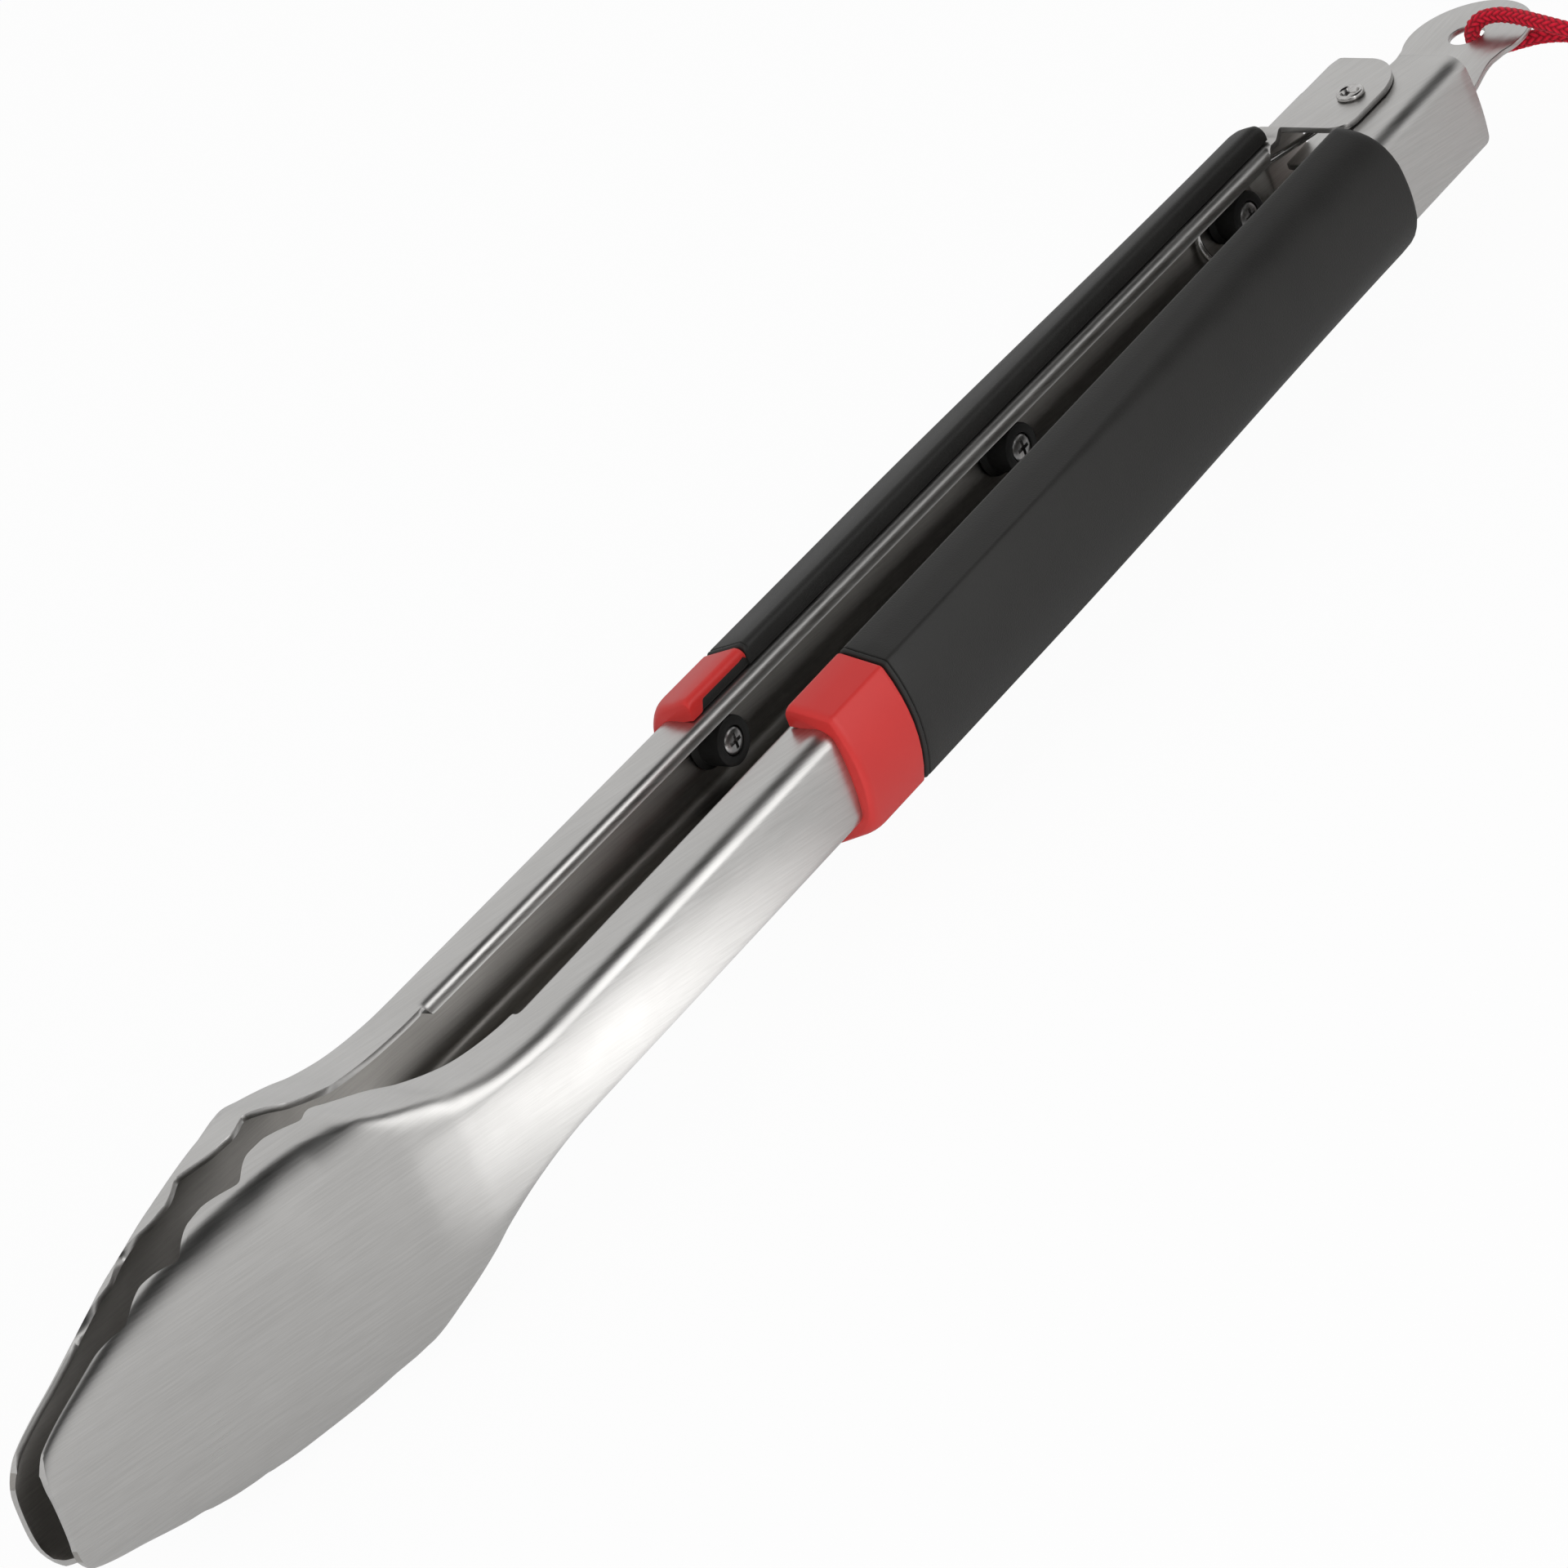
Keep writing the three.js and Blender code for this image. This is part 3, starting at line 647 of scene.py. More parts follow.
headShares = [0, 0.05, 0.11, 0.16, 0.22, 0.26, 0.33, 0.38, 0.44, 0.49, 0.56, 0.62, 0.67, 0.73, 0.78, 0.83,
              0.88, 0.94, 0.98, 1]
widthShares = [0, 0.01, 0.06, 0.14, 0.3, 0.45, 0.71, 0.91, 0.98, 1, 0.98, 0.96, 0.91, 0.84, 0.73, 0.6,
               0.45, 0.27, 0.1, -0.07]
wallShares = [0, 0, 0, 0, 0.005, 0.015, 0.08, 0.17, 0.27, 0.345, 0.43, 0.525, 0.61, 0.705, 0.79, 0.865,
              0.92, 0.968, 0.994, 1]
edgeShares = [0, 0.03, 0.1, 0.21, 0.45, 0.68, 0.79, 0.83, 0.8, 0.79, 0.79, 0.8, 0.83, 0.88, 0.92, 0.955,
              0.985, 1, 1, 1]
scallopShares = [0.396, 0.536, 0.674, 0.783]


def alongHead(shares, u):
    last = len(headShares) - 1
    i = 0
    while i < last - 1 and headShares[i + 1] < u:
        i += 1

    def slope(k):
        low, high = max(k - 1, 0), min(k + 1, last)
        return (shares[high] - shares[low]) / (headShares[high] - headShares[low])

    span = headShares[i + 1] - headShares[i]
    s = clamp((u - headShares[i]) / span)
    return hermite(shares[i], slope(i) * span, shares[i + 1], slope(i + 1) * span, s)


def armAt(x, edge):
    arm = armShape
    headLength = arm["headEnd"] - arm["lipEnd"]
    u = clamp((x - arm["lipEnd"]) / headLength)
    notch, soft = 0, arm["scallopRound"]
    for share, depth in zip(scallopShares, arm["scallopDepths"]):
        off = math.hypot(x - arm["lipEnd"] - share * headLength, soft) - soft
        notch += depth * max(1 - off / arm["scallopReach"], 0) ** 1.5
    spread = alongHead(widthShares, u)
    half = arm["half"] + spread * (arm["headHalf"] - arm["half"])
    rim = edge - alongHead(edgeShares, u) * arm["edgeRise"]
    back = edge + arm["depth"] - alongHead(wallShares, u) * arm["headDrop"]
    return {
        "rim": [rim, half + max(spread, 0) * arm["headDraft"] * (1 - fade(u, *arm["draftFade"]))],
        "notch": notch,
        "corner": [back, half - (back - rim) * arm["tipLean"] * fade(u, *arm["leanFade"])],
        "bendShare": lerp(*arm["bendShares"], fade(u, *arm["shareFade"])),
        "crown": lerp(arm["crown"], arm["headCrown"], fade(u, *arm["crownFade"])),
        "straight": fade(x, arm["lipEnd"], arm["lipFade"]),
        "bend": lerp(arm["bend"], arm["headBend"][0], fade(u, *arm["bendFade"])),
        "backBend": lerp(arm["bend"], arm["headBend"][1], fade(u, *arm["backFade"])),
    }


# Outer line of one section, from the upper free edge over the back to the lower one
def armLine(section):
    arm = armShape
    rim, corner = Vector(section["rim"]), Vector(section["corner"])
    length = (corner - rim).length
    down = (corner - rim) / length
    radius = min(section["bend"], length * section["bendShare"])
    backRadius = min(max(section["backBend"], section["bend"]), corner[1] * arm["backShare"])
    lip = arm["lipRadius"]
    rolled = [(rim[0], rim[1] - lerp(arm["lipDrop"], lip, share)) for share in (0, 0.5)]
    rolled += [(rim[0] + lip * (1 - math.cos(turn)), rim[1] - lip * (1 - math.sin(turn)))
               for turn in (share * math.pi / 2 for share in fractions(5))]
    reach = min(lip, (length - radius) / 2)
    points = []
    for i, point in enumerate(rolled):
        flat = rim + down * reach * i / (len(rolled) - 1)
        points.append(Vector(point).lerp(flat, section["straight"]))
    for share in (0.35, 0.7):
        points.append(rim + down * lerp(reach, length - radius, share))
    start, end = rim + down * (length - radius), Vector((corner[0], corner[1] - backRadius))
    pull = 2 * math.sqrt((1 - down[1]) / 2)     # a round bend: the corner pulls as on a circle
    flat, step = len(points), arm["fineSteps"]
    fine = arm["bendSteps"] * step
    for t in fractions(fine):
        weights = (1 - t) ** 2, pull * t * (1 - t), t * t
        points.append((start * weights[0] + corner * weights[1] + end * weights[2]) / sum(weights))
    points += [Vector((end[0], end[1] * share)) for share in (0.75, 0.5, 0.25, 0)]
    for point in points[flat:]:
        point[0] += section["crown"] * max(1 - (point[1] / corner[1]) ** 2, 0)
    picks = [*range(flat), *range(flat, flat + fine, step), *range(flat + fine, len(points))]
    points = trimmed(points, picks, section["notch"])
    return points + [Vector((p[0], -p[1])) for p in reversed(points[:-1])]


def makeArm(name, stations, sectionAt):
    rows = [[(x, p[0], p[1]) for p in armLine(sectionAt(x))] for x in stations]
    obj = shapedGrid(name, rows)
    for material in (armSteel, shadedInsideSteel):
        obj.data.materials.append(material)
    return obj


# Gives a pressed arm its sheet, inwards from the outer side, which is made to face outwards first
def thicken(obj):
    obj.data.update()
    middle = min(obj.data.polygons, key=lambda face: (face.center - Vector(armShape["outerSpot"])).length)
    if middle.normal.y < 0:
        startEdit(obj)
        bpy.ops.mesh.flip_normals()
        endEdit()
    # The inner side takes the second material, the darker inside steel: painted shade
    applyModifier(obj, "SOLIDIFY", thickness=armShape["sheet"], offset=-1, use_even_offset=True, use_rim=True,
                  material_offset=1)


# Slices the front corners of a head round
def roundTip(obj):
    arm = armShape
    reach = armAt(arm["headEnd"], 0)["rim"][1] - arm["tipRound"] * math.tan(math.radians(arm["tipTurn"] / 2))
    startEdit(obj)
    for side in (1, -1):
        for step in arm["tipSteps"]:
            turn = math.radians(arm["tipTurn"] * step)
            ahead, out = math.cos(turn), math.sin(turn)
            place = arm["headEnd"] + arm["tipRound"] * (ahead - 1), 0, side * (reach + arm["tipRound"] * out)
            sliceOff(place, (ahead, 0, side * out))
    endEdit()


headStart = armShape["lipEnd"] - armShape["headLead"]
headStations = spaced(headStart, armShape["headEnd"], armShape["headPace"])
handleStations = spaced(armShape["handleStart"], headStart - 1, armShape["handlePace"])

nearTail = {
    "end": -17.3,
    "tuck": 0.7,
    "tuckFade": 24,
    "edge": 0.56,
    "stepStart": 7,
    "lipStart": 10.2,
    "lobeRadius": 6.5,
    "frontStations": [12, 15.5],
}


def nearSection(x):
    tail = nearTail
    section = armAt(x, nearEdge)
    front = fade(x, tail["stepStart"], tail["lipStart"] - tail["stepStart"])
    rim = tail["edge"]
    if abs(x) < tail["lobeRadius"]:
        rim = min(rim, -math.sqrt(tail["lobeRadius"] ** 2 - x * x))
    section["rim"][0] = lerp(rim, section["rim"][0], front)
    section["corner"][0] -= tail["tuck"] * (1 - fade(x, tail["stepStart"], tail["tuckFade"]))
    section["straight"] = max(section["straight"], 1 - front)
    return section


lobe = [nearTail["lobeRadius"] * math.sin(math.radians(turn)) for turn in range(-90, 91, 6)]
nearStations = [*spaced(nearTail["end"], -nearTail["lobeRadius"] - 1, 3), *lobe,
                *spaced(nearTail["stepStart"], nearTail["lipStart"], 0.4), *nearTail["frontStations"],
                *handleStations, *headStations]
nearArm = makeArm("nearArm", nearStations, nearSection)
thicken(nearArm)
roundTip(nearArm)
finishPiece(nearArm, nearTurn, bevel=armShape["edgeRound"])
standIn(nearArm, "near_arm", "arm_steel", "near_arm")
print("near arm pressed")

ear = {
    "half": 13.5,
    "front": 11.7,
    "reach": -6.1,
    "corner": 9.6,
    "cornerShares": [(0, 1), (0.03, 0.57), (0.42, 0.08), (1.15, 0)],
    "rise": 1.5,
    "tuck": 2.6,
    "bend": 7.5,
    "wallCut": -2.5,
    "cutHalf": 10.9,
    "backRound": ((-11, 11), 2.5, (12, 28, 45, 60)),     # middle, radius and turns of the slices
    "joggle": (10.3, 14.2),
    "flangeStep": (12, 14.4),
    "lipStart": 16,
    "lipFade": 2,
    "frontStations": [11.76, 12.4, 13, 13.56, 14, 14.4, 15.2, 16, 16.5, 17, 17.5, 18],
}


def earOutline(e):
    corner = [(-e["half"] + a * e["corner"], e["reach"] + b * e["corner"]) for a, b in e["cornerShares"]]
    points = bezier(corner, fractions(18))
    half = e["corner"] / 2
    points += [(x, e["reach"]) for x in (0, 3, e["front"] - half - 1, e["front"] - half)]
    return points + [(e["front"] - half * (1 - t) ** 2, e["reach"] + half * t * t) for t in fractions(10)[1:]]


earLine = earOutline(ear)


def farSection(x):
    section = armAt(x, farEdge)
    low, high = ear["joggle"]
    wider = ease((high - x) / (high - low))
    low, high = ear["flangeStep"]
    rise = ear["rise"] * ease((high - x) / (high - low))
    rim = section["rim"][0]
    if x <= ear["front"] + 1e-6:
        for (x0, y0), (x1, y1) in zip(earLine, earLine[1:]):
            if x0 - 1e-6 <= x <= x1 + 1e-6:
                rim = lerp(y0, y1, clamp((x - x0) / max(x1 - x0, 1e-6)))
    section["rim"] = [rim, section["rim"][1] + rise]
    section["corner"] = [section["corner"][0] - wider * ear["tuck"], section["corner"][1] + rise]
    plain = ease((ear["lipStart"] + ear["lipFade"] - x) / ear["lipFade"])
    section["straight"] = max(section["straight"], plain)
    section["bend"] = lerp(section["bend"], ear["bend"], wider)
    return section


farStations = [*sorted({round(p[0], 4) for p in earLine} | {ear["wallCut"]}), *ear["frontStations"],
               *handleStations, *headStations]
farArm = makeArm("farArm", farStations, farSection)


# Of the channel behind the cut only the two ears remain, and their back corners are sliced round
def onBackWall(spot):
    return spot.x < ear["wallCut"] and spot.y > farEdge and abs(spot.z) < ear["cutHalf"]


selectFaces(farArm, onBackWall)
bpy.ops.mesh.delete(type="FACE")
endEdit()
thicken(farArm)
roundTip(farArm)
startEdit(farArm)
backMiddle, backRadius, backTurns = ear["backRound"]
for turn in backTurns:
    outwards = Vector((-math.cos(math.radians(turn)), math.sin(math.radians(turn)), 0))
    sliceOff(Vector((*backMiddle, 0)) + outwards * backRadius, outwards)
endEdit()
finishPiece(farArm, farTurn, bevel=armShape["edgeRound"])
standIn(farArm, "far_arm", "arm_steel", "far_arm")
print("far arm pressed")

# Grips and collars: moulded sleeves over the outside of each channel
gripShape = {
    "start": 14.5,
    "end": 195,
    "inset": 1.6,
    "rise": 4.4,
    "round": 1.4,
    "endRound": 3,
    "endShare": 0.8,
    "facet": (11.3, 12.5),
    "facetRounds": (6.5, 0.6),     # of the ridge, at the rear end and at the collar
    "facetFade": (20, 130),     # where the ridge starts to sharpen, and over what length
    "out": 14,
    "gap": 0.3,
    "wrap": 3,     # below the free edge, where the inside starts to follow the channel
    "sample": 100,     # a plain place of the channel
    "lowShares": (0.3, 2.2),     # what the lower half's own inset adds to its ridge's inset, and to its round
    # Distance from the grip's end, and inset; the plain middle has its first row, last row and pace
    "rear": [(0, 0.7), (0.12, 0.4), (0.35, 0.15), (0.7, 0), (1.2, 0), (1.8, 0), (2.4, 0), (3, 0)],
    "middle": (20, 190, 5),
    "bead": [(1.35, 0), (1.25, 0.1), (1.15, 0.45), (1, 0.5), (0.85, 0.15), (0.7, 0.02), (0.45, 0.02),
             (0.25, 0.15), (0.1, 0.4), (0, 0.8)],
    "edgeRound": 0.25,
    "collarLength": 18.6,
    "relief": 2.1,     # room inside the collar's free edge for the grip's tongue, up to the front foot
    "tongue": ((190, 210.4), (1.9, 4.4), (10.8, 12.7)),
    # Distance from the collar's end, inset, in front also the lower half's inset, and share of the relief
    "collarBack": [(0, 0.7, 0.8), (0.25, 0.35, 0.98), (0.7, 0, 1.12), (1.4, 0, 1.04), (2.2, 0, 1)],
    "collarFront": [(4.4, 0, 0, 1), (4, 0, 0.03, 0.85), (3.6, 0, 0.06, 0.45), (3.2, 0, 0.1, 0.1),
                    (2.8, 0, 0.15, 0), (2, 0, 0.35, 0), (1.2, 0, 0.75, 0), (0.7, 0.12, 1.15, 0),
                    (0.35, 0.3, 1.55, 0), (0.1, 0.55, 2, 0), (0, 0.75, 2.3, 0)],
    "collarRound": 0.2,
}


# Inside of a sleeve: the channel's own line, moved out by the gap
def gripInside(grip, relief):
    outer = armLine(armAt(grip["sample"], 0))
    side, corner = grip["inset"], armShape["half"] + grip["gap"] + relief
    inner = []
    for i, point in enumerate(outer):
        ahead, behind = outer[min(i + 1, len(outer) - 1)], outer[max(i - 1, 0)]
        along = (ahead - behind).normalized()
        inner.append(point + Vector((-along[1], along[0])) * -grip["gap"])
    inner = [p for p in inner if p[0] > side + grip["wrap"]]
    return [Vector((side, corner)), *inner, Vector((side, -corner))]


# Outside of half a sleeve, from the free edge over the ridge to the middle of the back
def gripOutside(grip, x, inset, low):
    side, rounding = grip["inset"], grip["round"]
    drop = inset + grip["lowShares"][0] * low
    end = grip["endShare"] * max(grip["endRound"] - x + grip["start"], 0)
    short = grip["endRound"] - math.sqrt(grip["endRound"] ** 2 - end ** 2)
    top = armShape["half"] + grip["rise"] - inset
    facet = Vector((grip["facet"][0] - drop / 2, grip["facet"][1] - drop))
    crown = grip["out"] - inset
    soft = lerp(*grip["facetRounds"], fade(x, *grip["facetFade"])) + grip["lowShares"][1] * low
    shoulder = Vector((side + rounding, top - short))
    slopeEnd = facet + (shoulder - facet).normalized() * soft
    arcStart = 1 - soft / facet[1]

    def backAt(share):
        return Vector((crown - (crown - facet[0]) * share ** 2, facet[1] * share))

    bend = backAt(arcStart)
    half = [Vector((side + rounding * (1 - math.cos(turn)), top - short - rounding * (1 - math.sin(turn))))
            for turn in (math.pi / 10 * i for i in range(6))]
    half += [shoulder.lerp(slopeEnd, share) for share in (0.5, 1)]
    half += [slopeEnd * (1 - t) ** 2 + facet * 2 * t * (1 - t) + bend * t * t
             for t in (0.17, 0.33, 0.5, 0.67, 0.83, 1)]
    return half + [backAt(arcStart * share) for share in (0.75, 0.5, 0.25, 0)]


def gripOutline(grip, x, inset, lowInset, relief=0):
    upper, lower = [gripOutside(grip, x, inset, low) for low in (0, lowInset - inset)]
    mirrored = [Vector((p[0], -p[1])) for p in reversed(lower[:-1])]
    return [*upper, *mirrored, *reversed(gripInside(grip, relief))]


def makeSleeve(name, grip, steps):
    rows = [[(x, p[0], p[1]) for p in gripOutline(grip, x, *insets)] for x, *insets in steps]
    return closedGrid(name, rows)


def makeGrip(shape):
    grip = makeSleeve("gripBlank", shape, [
        *[(shape["start"] + step, drop, drop) for step, drop in shape["rear"]],
        *[(x, 0, 0) for x in spaced(*shape["middle"])],
        *[(shape["end"] - step, drop, drop) for step, drop in shape["bead"]]])
    (x0, x1), (y0, y1), (z0, z1) = shape["tongue"]
    for side in (1, -1):
        tongue = addBlock(((x0 + x1) / 2, (y0 + y1) / 2, side * (z0 + z1) / 2), (x1 - x0, y1 - y0, z1 - z0))
        pick(grip)
        tongue.select_set(True)
        bpy.ops.object.join()
    return finishPiece(grip, Matrix.Identity(4), gripBlack, bevel=shape["edgeRound"])


def makeCollar(shape):
    start, end = shape["end"] + shape["gap"], shape["end"] + shape["collarLength"]
    relief = shape["relief"]
    collar = makeSleeve("collarBlank", shape, [
        *[(start + step, drop, drop, share * relief) for step, drop, share in shape["collarBack"]],
        *[(end - step, drop, low, share * relief) for step, drop, low, share in shape["collarFront"]]])
    return finishPiece(collar, Matrix.Identity(4), collarRed, bevel=shape["collarRound"])


grip, collar = makeGrip(gripShape), makeCollar(gripShape)
print("grips and collars moulded")

# Bosses inside the channels, and the screws in them
bossShape = {
    "stations": [24.5, 106, 204],
    "profile": [(1.75, 5.2), (2.9, 5.2), (2.9, 3.45), (3.05, 3.3), (4.3, 3.3), (4.7, 3.55), (4.8, 3.9),
                (4.75, 8.3), (5.1, 8.8), (5.6, 9.35), (5.6, 9.55), (1.75, 9.55)],
}
screwShape = {
    "profile": [(0, 3.05), (1.3, 3.07), (2, 3.2), (2.5, 3.45), (2.75, 3.85), (2.75, 4.75), (2.65, 5),
                (1.45, 5), (1.45, 12.85), (0, 12.85)],
    "recess": (3.2, 0.75, 1.1),     # length, width and depth of one slot of the cross
    "edgeRound": 0.08,
}
acrossChannel = Matrix.Rotation(-math.pi / 2, 4, "X")     # from Z, where a piece is turned, to Y


def makeBoss(shape):
    boss = turnedPiece("boss", [*shape["profile"], shape["profile"][0]], vertices=40)
    return finishPiece(boss, acrossChannel, bossBlack)


def makeScrew(shape):
    screw = turnedPiece("screw", shape["profile"], vertices=40)
    long, across, deep = shape["recess"]
    low = shape["profile"][0][1]
    for size in ((long, across), (across, long)):
        cutAway(screw, addBlock((0, 0, low), (*size, deep * 2)))
    return finishPiece(screw, acrossChannel, screwSteel, bevel=shape["edgeRound"], segments=1)


boss, screw = makeBoss(bossShape), makeScrew(screwShape)
for side, turn, edge in (("far", farTurn, farEdge), ("near", nearTurn, nearEdge)):
    body = side + "_arm"
    seat = turn @ Matrix.Translation((0, edge, 0))
    for obj, label, node, slot in ((grip, "Grip", "grip", "grip_black"),
                                   (collar, "Collar", "collar", "collar_red")):
        standIn(copyPiece(obj, side + label, seat), body, slot, f"{side}_{node}")
    for i, x in enumerate(bossShape["stations"]):
        for obj, label, node, slot in ((boss, "Boss", "boss", "boss_black"),
                                       (screw, "Screw", "screw", "screw_steel")):
            twin = copyPiece(obj, f"{side}{label}{i + 1}", seat @ Matrix.Translation((x, 0, 0)))
            standIn(twin, body, slot, f"{side}_{node}_{i + 1}")
for obj in (grip, collar, boss, screw):
    bpy.data.objects.remove(obj)
print("bosses and screws set")

# Hinge rivet with dished heads, and the sleeve round it
rivetShape = {
    "heads": [(2, 12.3), (2.8, 12.3), (2.8, 12.75), (2.7, 13), (2.5, 13.17), (2.25, 13.2), (2, 13.1),
              (1.8, 12.8), (1.6, 12.3), (1.35, 12.05), (1, 12.1), (0.6, 12.35), (0.25, 12.45), (0, 12.46)],
    "sleeve": [(2.3, -9), (3, -9), (3, 9), (2.3, 9)],
    "sleeveRound": 0.12,
}
lowHead = [(radius, -height) for radius, height in reversed(rivetShape["heads"])]
rivet = turnedPiece("hingeRivet", [*lowHead, *rivetShape["heads"]])
finishPiece(rivet, nearTurn, rivetSteel)
standIn(rivet, "near_arm", "rivet_steel", "hinge_rivet")
sleeve = turnedPiece("hingeSleeve", [*rivetShape["sleeve"], rivetShape["sleeve"][0]])
finishPiece(sleeve, nearTurn, rivetSteel, bevel=rivetShape["sleeveRound"])
standIn(sleeve, "near_arm", "rivet_steel", "hinge_sleeve")
print("rivet set")

# Lock slider: wide plate, waist and round tab
sliderShape = {
    "plate": 1.2,
    "side": -1,
    "half": 13.8,
    "front": 8,
    "shoulder": 17,
    "corner": 1.5,
    "neck": (31, 11.3),
    "tab": (40, 13.2),
    "hole": 3.6,
    "slot": 3.3,
    "travel": 10.4,
    "edgeRound": 0.3,
}


def sliderOutline(s):
    neckPlace, neckHalf = s["neck"]
    tabPlace, tabRadius = s["tab"]
    half = [(s["front"], 0), (s["front"], s["half"] - s["corner"])]
    half += [(s["front"] - s["corner"] * (1 - math.cos(t)), s["half"] - s["corner"] * (1 - math.sin(t)))
             for t in (math.radians(15 * i) for i in range(1, 7))]
    half.append((-s["shoulder"], s["half"]))
    half += bezier([(-s["shoulder"], s["half"]), (-s["shoulder"] * 1.3, s["half"]),
                    (-neckPlace + s["shoulder"] / 4, neckHalf), (-neckPlace, neckHalf)], fractions(10)[1:])
    start = math.asin(neckHalf / tabRadius)
    half += [(-tabPlace + tabRadius * math.cos(turn), tabRadius * math.sin(turn))
             for turn in (lerp(start, math.pi, share) for share in fractions(24)[1:])]
    return half + [(x, -y) for x, y in reversed(half[1:-1])]


def makeSlider(s):
    outline = [(x, y + s["side"], 0) for x, y in sliderOutline(s)]
    deselect()
    bpy.ops.mesh.primitive_circle_add(vertices=len(outline), radius=1, fill_type="NOTHING")
    obj = named("lockSlider")
    for vertex, point in zip(obj.data.vertices, outline):
        vertex.co = point
    startEdit(obj)
    bpy.ops.mesh.edge_face_add()
    bpy.ops.mesh.extrude_region_move(TRANSFORM_OT_translate={"value": (0, 0, s["plate"])})
    bpy.ops.mesh.select_all(action="SELECT")
    bpy.ops.mesh.normals_make_consistent(inside=False)
    endEdit()
    for x, y, radius, travel in ((-s["tab"][0], s["side"], s["hole"], 0), (0, 0, s["slot"], s["travel"])):
        deselect()
        bpy.ops.mesh.primitive_cylinder_add(vertices=64, radius=radius, depth=s["plate"] * 4,
                                            location=(x, y, 0))
        cutter = bpy.context.active_object
        bpy.ops.object.transform_apply(location=True)
        for vertex in cutter.data.vertices:
            if travel and vertex.co.x < x - 1e-4:
                vertex.co.x -= travel
        cutAway(obj, cutter)
    return finishPiece(obj, nearTurn, sliderSteel, bevel=s["edgeRound"], segments=3)


slider = makeSlider(sliderShape)
standIn(slider, "lock_slider", "slider_steel", "lock_slider")
print("lock slider cut")

# Double torsion spring
springShape = {
    "wire": 1.4,
    "coilRadius": 5.2,
    "coilLow": 2.4,
    "bailHalf": 6.9,
    "bailReach": 33.9,
    "bailCornerShare": 0.65,
    "coilTurns": 2,
    "coilSteps": 8,     # in each turn
    "legReach": 15.8,
    "clearance": 0.3,     # between the wire and the sheet
    "curveSteps": 10,
    "pace": 0.55,
    "sides": 16,
    "endRound": 0.1,
}


def springRoute(s):
    arm = armShape
    room = arm["sheet"] + s["clearance"] + s["wire"] / 2
    nearWall = nearEdge + arm["depth"] + arm["crown"] / 2 - room
    farWall = -(farEdge + arm["depth"] + arm["crown"] - room + restAngle * s["bailReach"])
    cornerY = farWall + 2 * arm["crown"]
    leg = Vector((s["legReach"], nearWall))
    bail = Vector((s["bailReach"] - s["bailHalf"] / 2, cornerY))
    start = math.atan2(leg.y, leg.x) + math.acos(s["coilRadius"] / leg.length)
    end = math.atan2(bail.y, bail.x) + math.tau - math.acos(s["coilRadius"] / bail.length)
    turn = (end - start) % math.tau + math.tau * s["coilTurns"]
    steps = round(turn / math.tau * s["coilSteps"])
    foot = Vector((math.cos(start) * s["coilRadius"], math.sin(start) * s["coilRadius"], s["coilLow"]))
    tip = Vector((leg.x, leg.y, s["coilLow"]))
    top = [tip, tip.lerp(foot, 0.5)]
    for i in range(steps + 1):
        angle = start + turn * i / steps
        top.append(Vector((math.cos(angle) * s["coilRadius"], math.sin(angle) * s["coilRadius"],
                           lerp(s["coilLow"], s["bailHalf"], i / steps))))
    elbow = Vector((bail.x, bail.y, s["bailHalf"]))
    last = top[-1]
    top += [last.lerp(elbow, 1 / 3), last.lerp(elbow, 2 / 3), elbow]
    top.append(Vector((s["bailReach"] - s["wire"] / 2, (cornerY + farWall) / 2,
                       s["bailHalf"] * s["bailCornerShare"])))
    bottom = [Vector((p.x, p.y, -p.z)) for p in reversed(top)]
    return [*top, Vector((s["bailReach"], farWall, 0)), *bottom]


def makeSpring(s):
    line = evenly(smoothCurve(springRoute(s), s["curveSteps"]), s["pace"])
    obj = closedGrid("torsionSpring", ringsRound(line, s["sides"], lambda k, turn: s["wire"] / 2))
    return finishPiece(obj, nearTurn, springSteel, bevel=s["endRound"], smooth=50)


spring = makeSpring(springShape)
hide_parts("torsion_spring")
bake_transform(spring)
print("spring wound")

# Floor, backdrop and lamps
studio = {
    "floorSize": 12,
    "floorGap": 0.2,     # under the lowest point of the tongs
    "floorTone": 0.85,
    "floorGlow": (0.95, 0.3),     # share of plain white that the camera sees, and metal and glass
    "pool": ((262, 62), 72, 7),     # glowing patch on the floor that only reflections see, a painted highlight on the metal at the neck: middle, radius, strength
    "fill": 0.5,
    "mirrored": 0.87,
    "flags": [     # dark boards that metal mirrors: direction, angles of board and soft edge, brightness
        ((-0.64, 0.32, 0.7), 8, 30, 0.1),
        ((-0.25, 0.42, 0.87), 16, 42, 0.06),
        ((0.08, 0.68, 0.73), 12, 36, 0.1),
    ],
    "lamps": [     # direction, place it faces, distance, size, power, whether metal mirrors it
        ("overheadSoftbox", (0.1, 0.1, 1), (200, 0, 0), 1600, (1800, 1800), 3.5, False),
        ("sideSoftbox", (0.5, 0.8, 0.4), (200, 0, 0), 1600, (1200, 1200), 11, False),
        ("neckCard", (-0.64, 0.71, 0.28), (315, 12, 4), 300, (130, 200), 0.15, True),
    ],
}


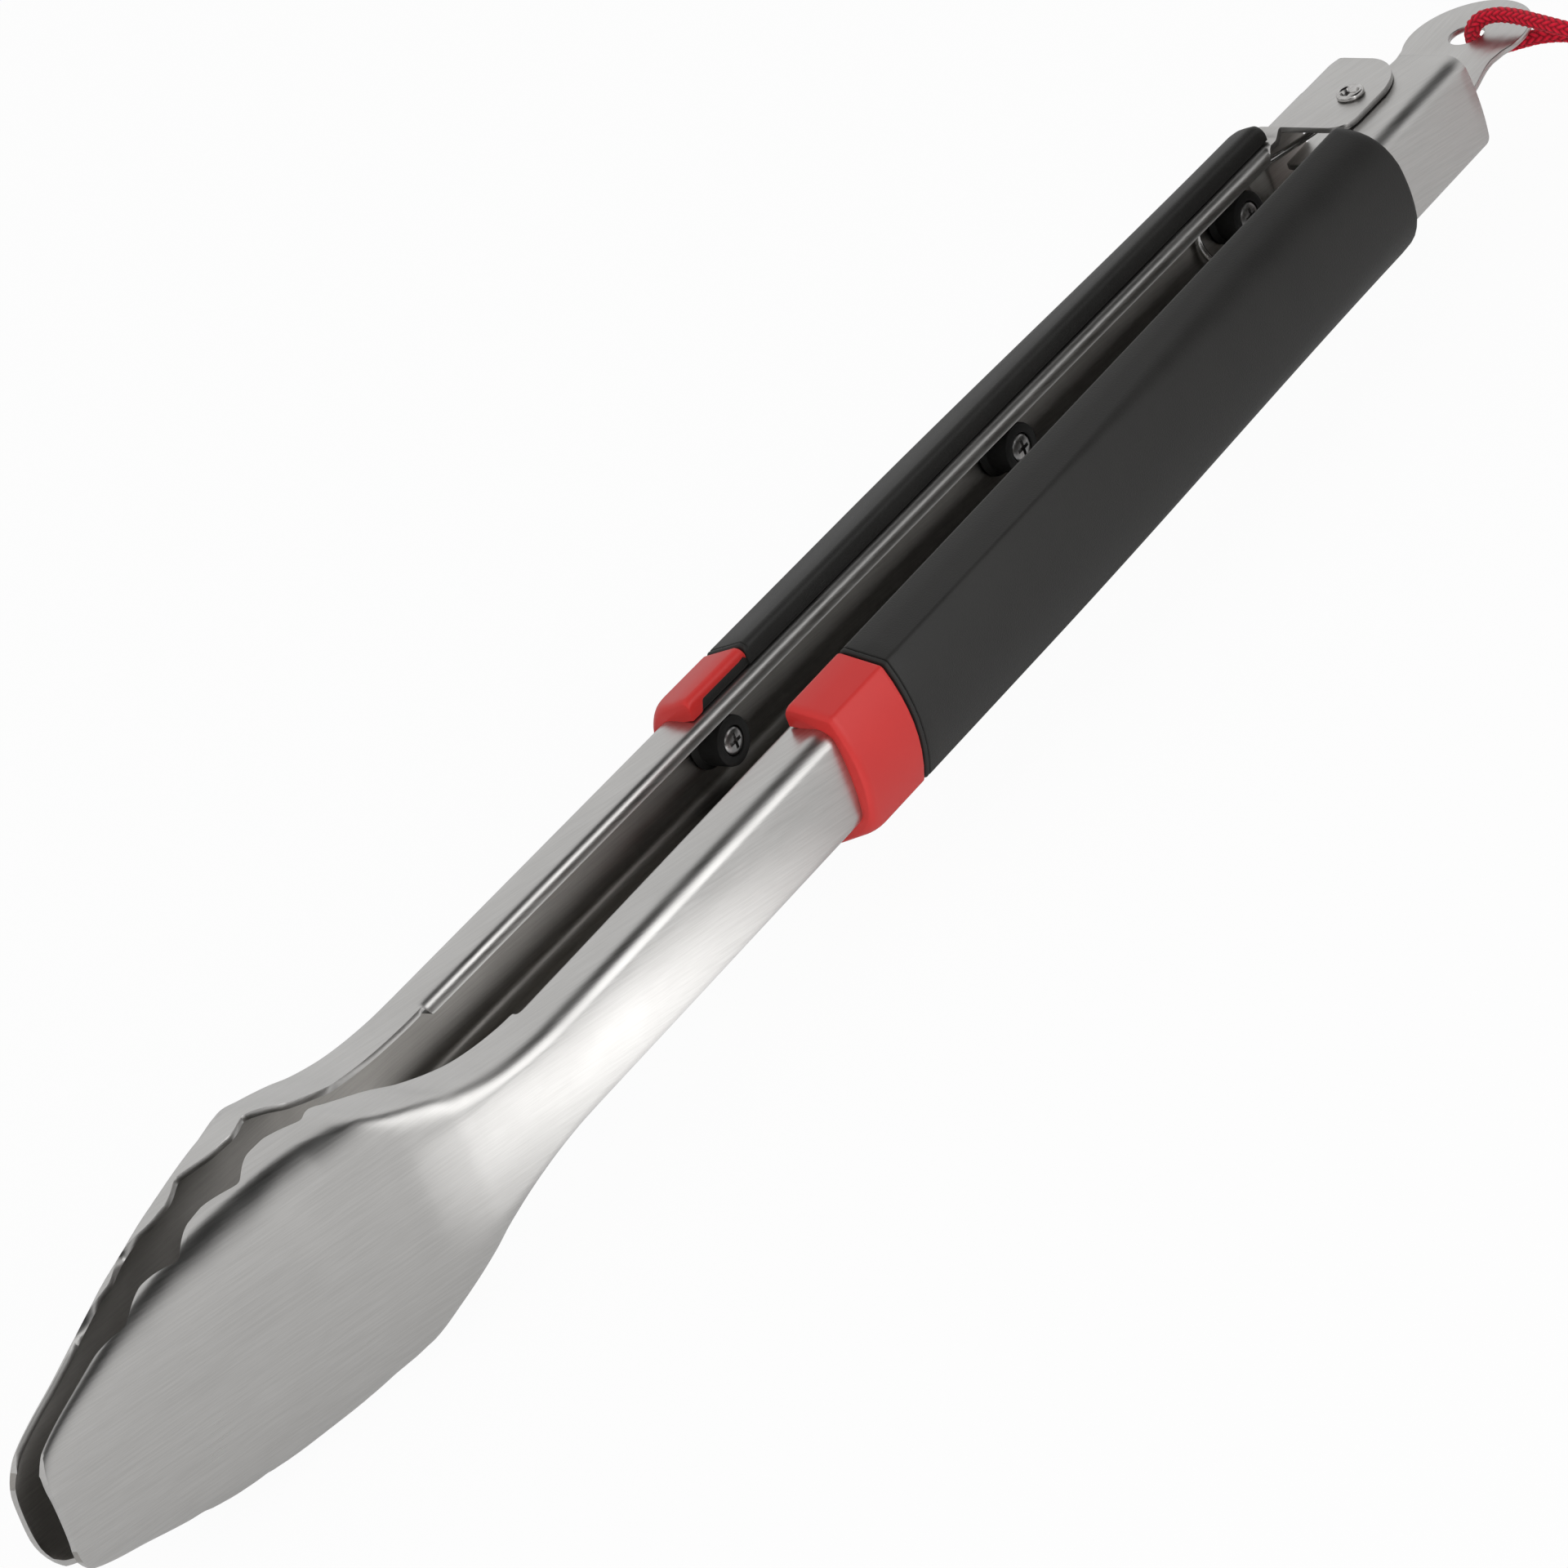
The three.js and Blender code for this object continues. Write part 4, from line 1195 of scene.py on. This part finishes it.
def makeFloor(settings):
    low = min(cadBounds[0].z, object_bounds()[0].z)
    deselect()
    bpy.ops.mesh.primitive_plane_add(size=settings["floorSize"],
                                     location=(0, 0, low - settings["floorGap"] * mm))
    floor = named("studioFloor")
    tone = settings["floorTone"]
    material, nodes, shader = newMaterial("paleFloor", Base_Color=(tone, tone, tone, 1), Roughness=0.9)
    rays = addNode(nodes, "ShaderNodeLightPath", -500, 300)
    # A glowing patch that only glossy rays see: a painted highlight that the metal at the neck mirrors
    middle, radius, strength = settings["pool"]
    centre = atHinge((*middle, 0))
    spot = addNode(nodes, "ShaderNodeTexCoord", -1100, -150)
    place = addNode(nodes, "ShaderNodeMapping", -900, -150, vector_type="TEXTURE")
    feed(place, Vector=spot.outputs["Object"], Location=(*centre.xy, 0), Scale=[radius * mm] * 3)
    pool = addNode(nodes, "ShaderNodeTexGradient", -700, -150, gradient_type="SPHERICAL")
    feed(pool, Vector=place.outputs["Vector"])
    bright = addMath(nodes, -500, -150, "MULTIPLY", pool.outputs["Fac"], rays.outputs["Is Glossy Ray"])
    glow = addNode(nodes, "ShaderNodeEmission", 0, -150)
    feed(glow, Strength=addMath(nodes, -200, -150, "MULTIPLY_ADD", bright, strength, 1))
    seen, mirrored = settings["floorGlow"]
    share = 0
    for ray, part in (("Camera", seen), ("Glossy", mirrored), ("Transmission", mirrored)):
        share = addMath(nodes, -200, 200, "MULTIPLY_ADD", rays.outputs[f"Is {ray} Ray"], part, share)
    mix = addNode(nodes, "ShaderNodeMixShader", 300, 100)
    feed(mix, share, shader.outputs["BSDF"], glow.outputs["Emission"])
    feed(nodes["Material Output"], Surface=mix.outputs["Shader"])
    floor.data.materials.append(material)
    floor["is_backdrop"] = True


# The room glows evenly, and metal mirrors it with the dark boards in it
def makeWorld(settings):
    world = bpy.data.worlds.new("studioRoom")
    scene.world = world
    world.use_nodes = True
    nodes = world.node_tree.nodes
    rays = addNode(nodes, "ShaderNodeLightPath", -500, -200)
    room = addNode(nodes, "ShaderNodeTexCoord", -1100, 100)
    level = settings["mirrored"]
    for i, (direction, inner, outer, share) in enumerate(settings["flags"]):
        aim = addNode(nodes, "ShaderNodeVectorMath", -900, 100 - 250 * i, operation="DOT_PRODUCT")
        feed(aim, room.outputs["Generated"], Vector(direction).normalized())
        flag = addNode(nodes, "ShaderNodeMapRange", -700, 100 - 250 * i, interpolation_type="SMOOTHSTEP")
        feed(flag, Value=aim.outputs["Value"], From_Min=math.cos(math.radians(outer)),
             From_Max=math.cos(math.radians(inner)), To_Min=1, To_Max=share)
        level = addMath(nodes, -500, 100 - 250 * i, "MULTIPLY", level, flag.outputs["Result"])
    clear = addMath(nodes, -500, -400, "MAXIMUM", rays.outputs["Is Glossy Ray"],
                    rays.outputs["Is Transmission Ray"])
    lit = addNode(nodes, "ShaderNodeMix", -300, 100, data_type="FLOAT")
    feed(lit, Factor=clear, A=settings["fill"], B=level)
    seen = addMath(nodes, -100, 0, "MAXIMUM", lit.outputs["Result"], rays.outputs["Is Camera Ray"])
    feed(nodes["Background"], Color=(1, 1, 1, 1), Strength=seen)


def makeLamps(settings):
    for name, direction, target, distance, size, power, mirrored in settings["lamps"]:
        deselect()
        aim = Vector(direction).normalized()
        bpy.ops.object.light_add(type="AREA")
        lamp = bpy.context.active_object
        lamp.name = name
        lamp.data.shape = "RECTANGLE"
        lamp.data.size, lamp.data.size_y = size[0] * mm, size[1] * mm
        lamp.data.energy = power
        lamp.visible_glossy, lamp.visible_diffuse = mirrored, not mirrored
        lamp.visible_camera = False
        spot = atHinge(target) + aim * distance * mm
        lamp.matrix_world = Matrix.Translation(spot) @ aim.to_track_quat("Z", "Y").to_matrix().to_4x4()


makeFloor(studio)
makeWorld(studio)
makeLamps(studio)
scene.view_settings.view_transform = "Standard"
print("studio lit")
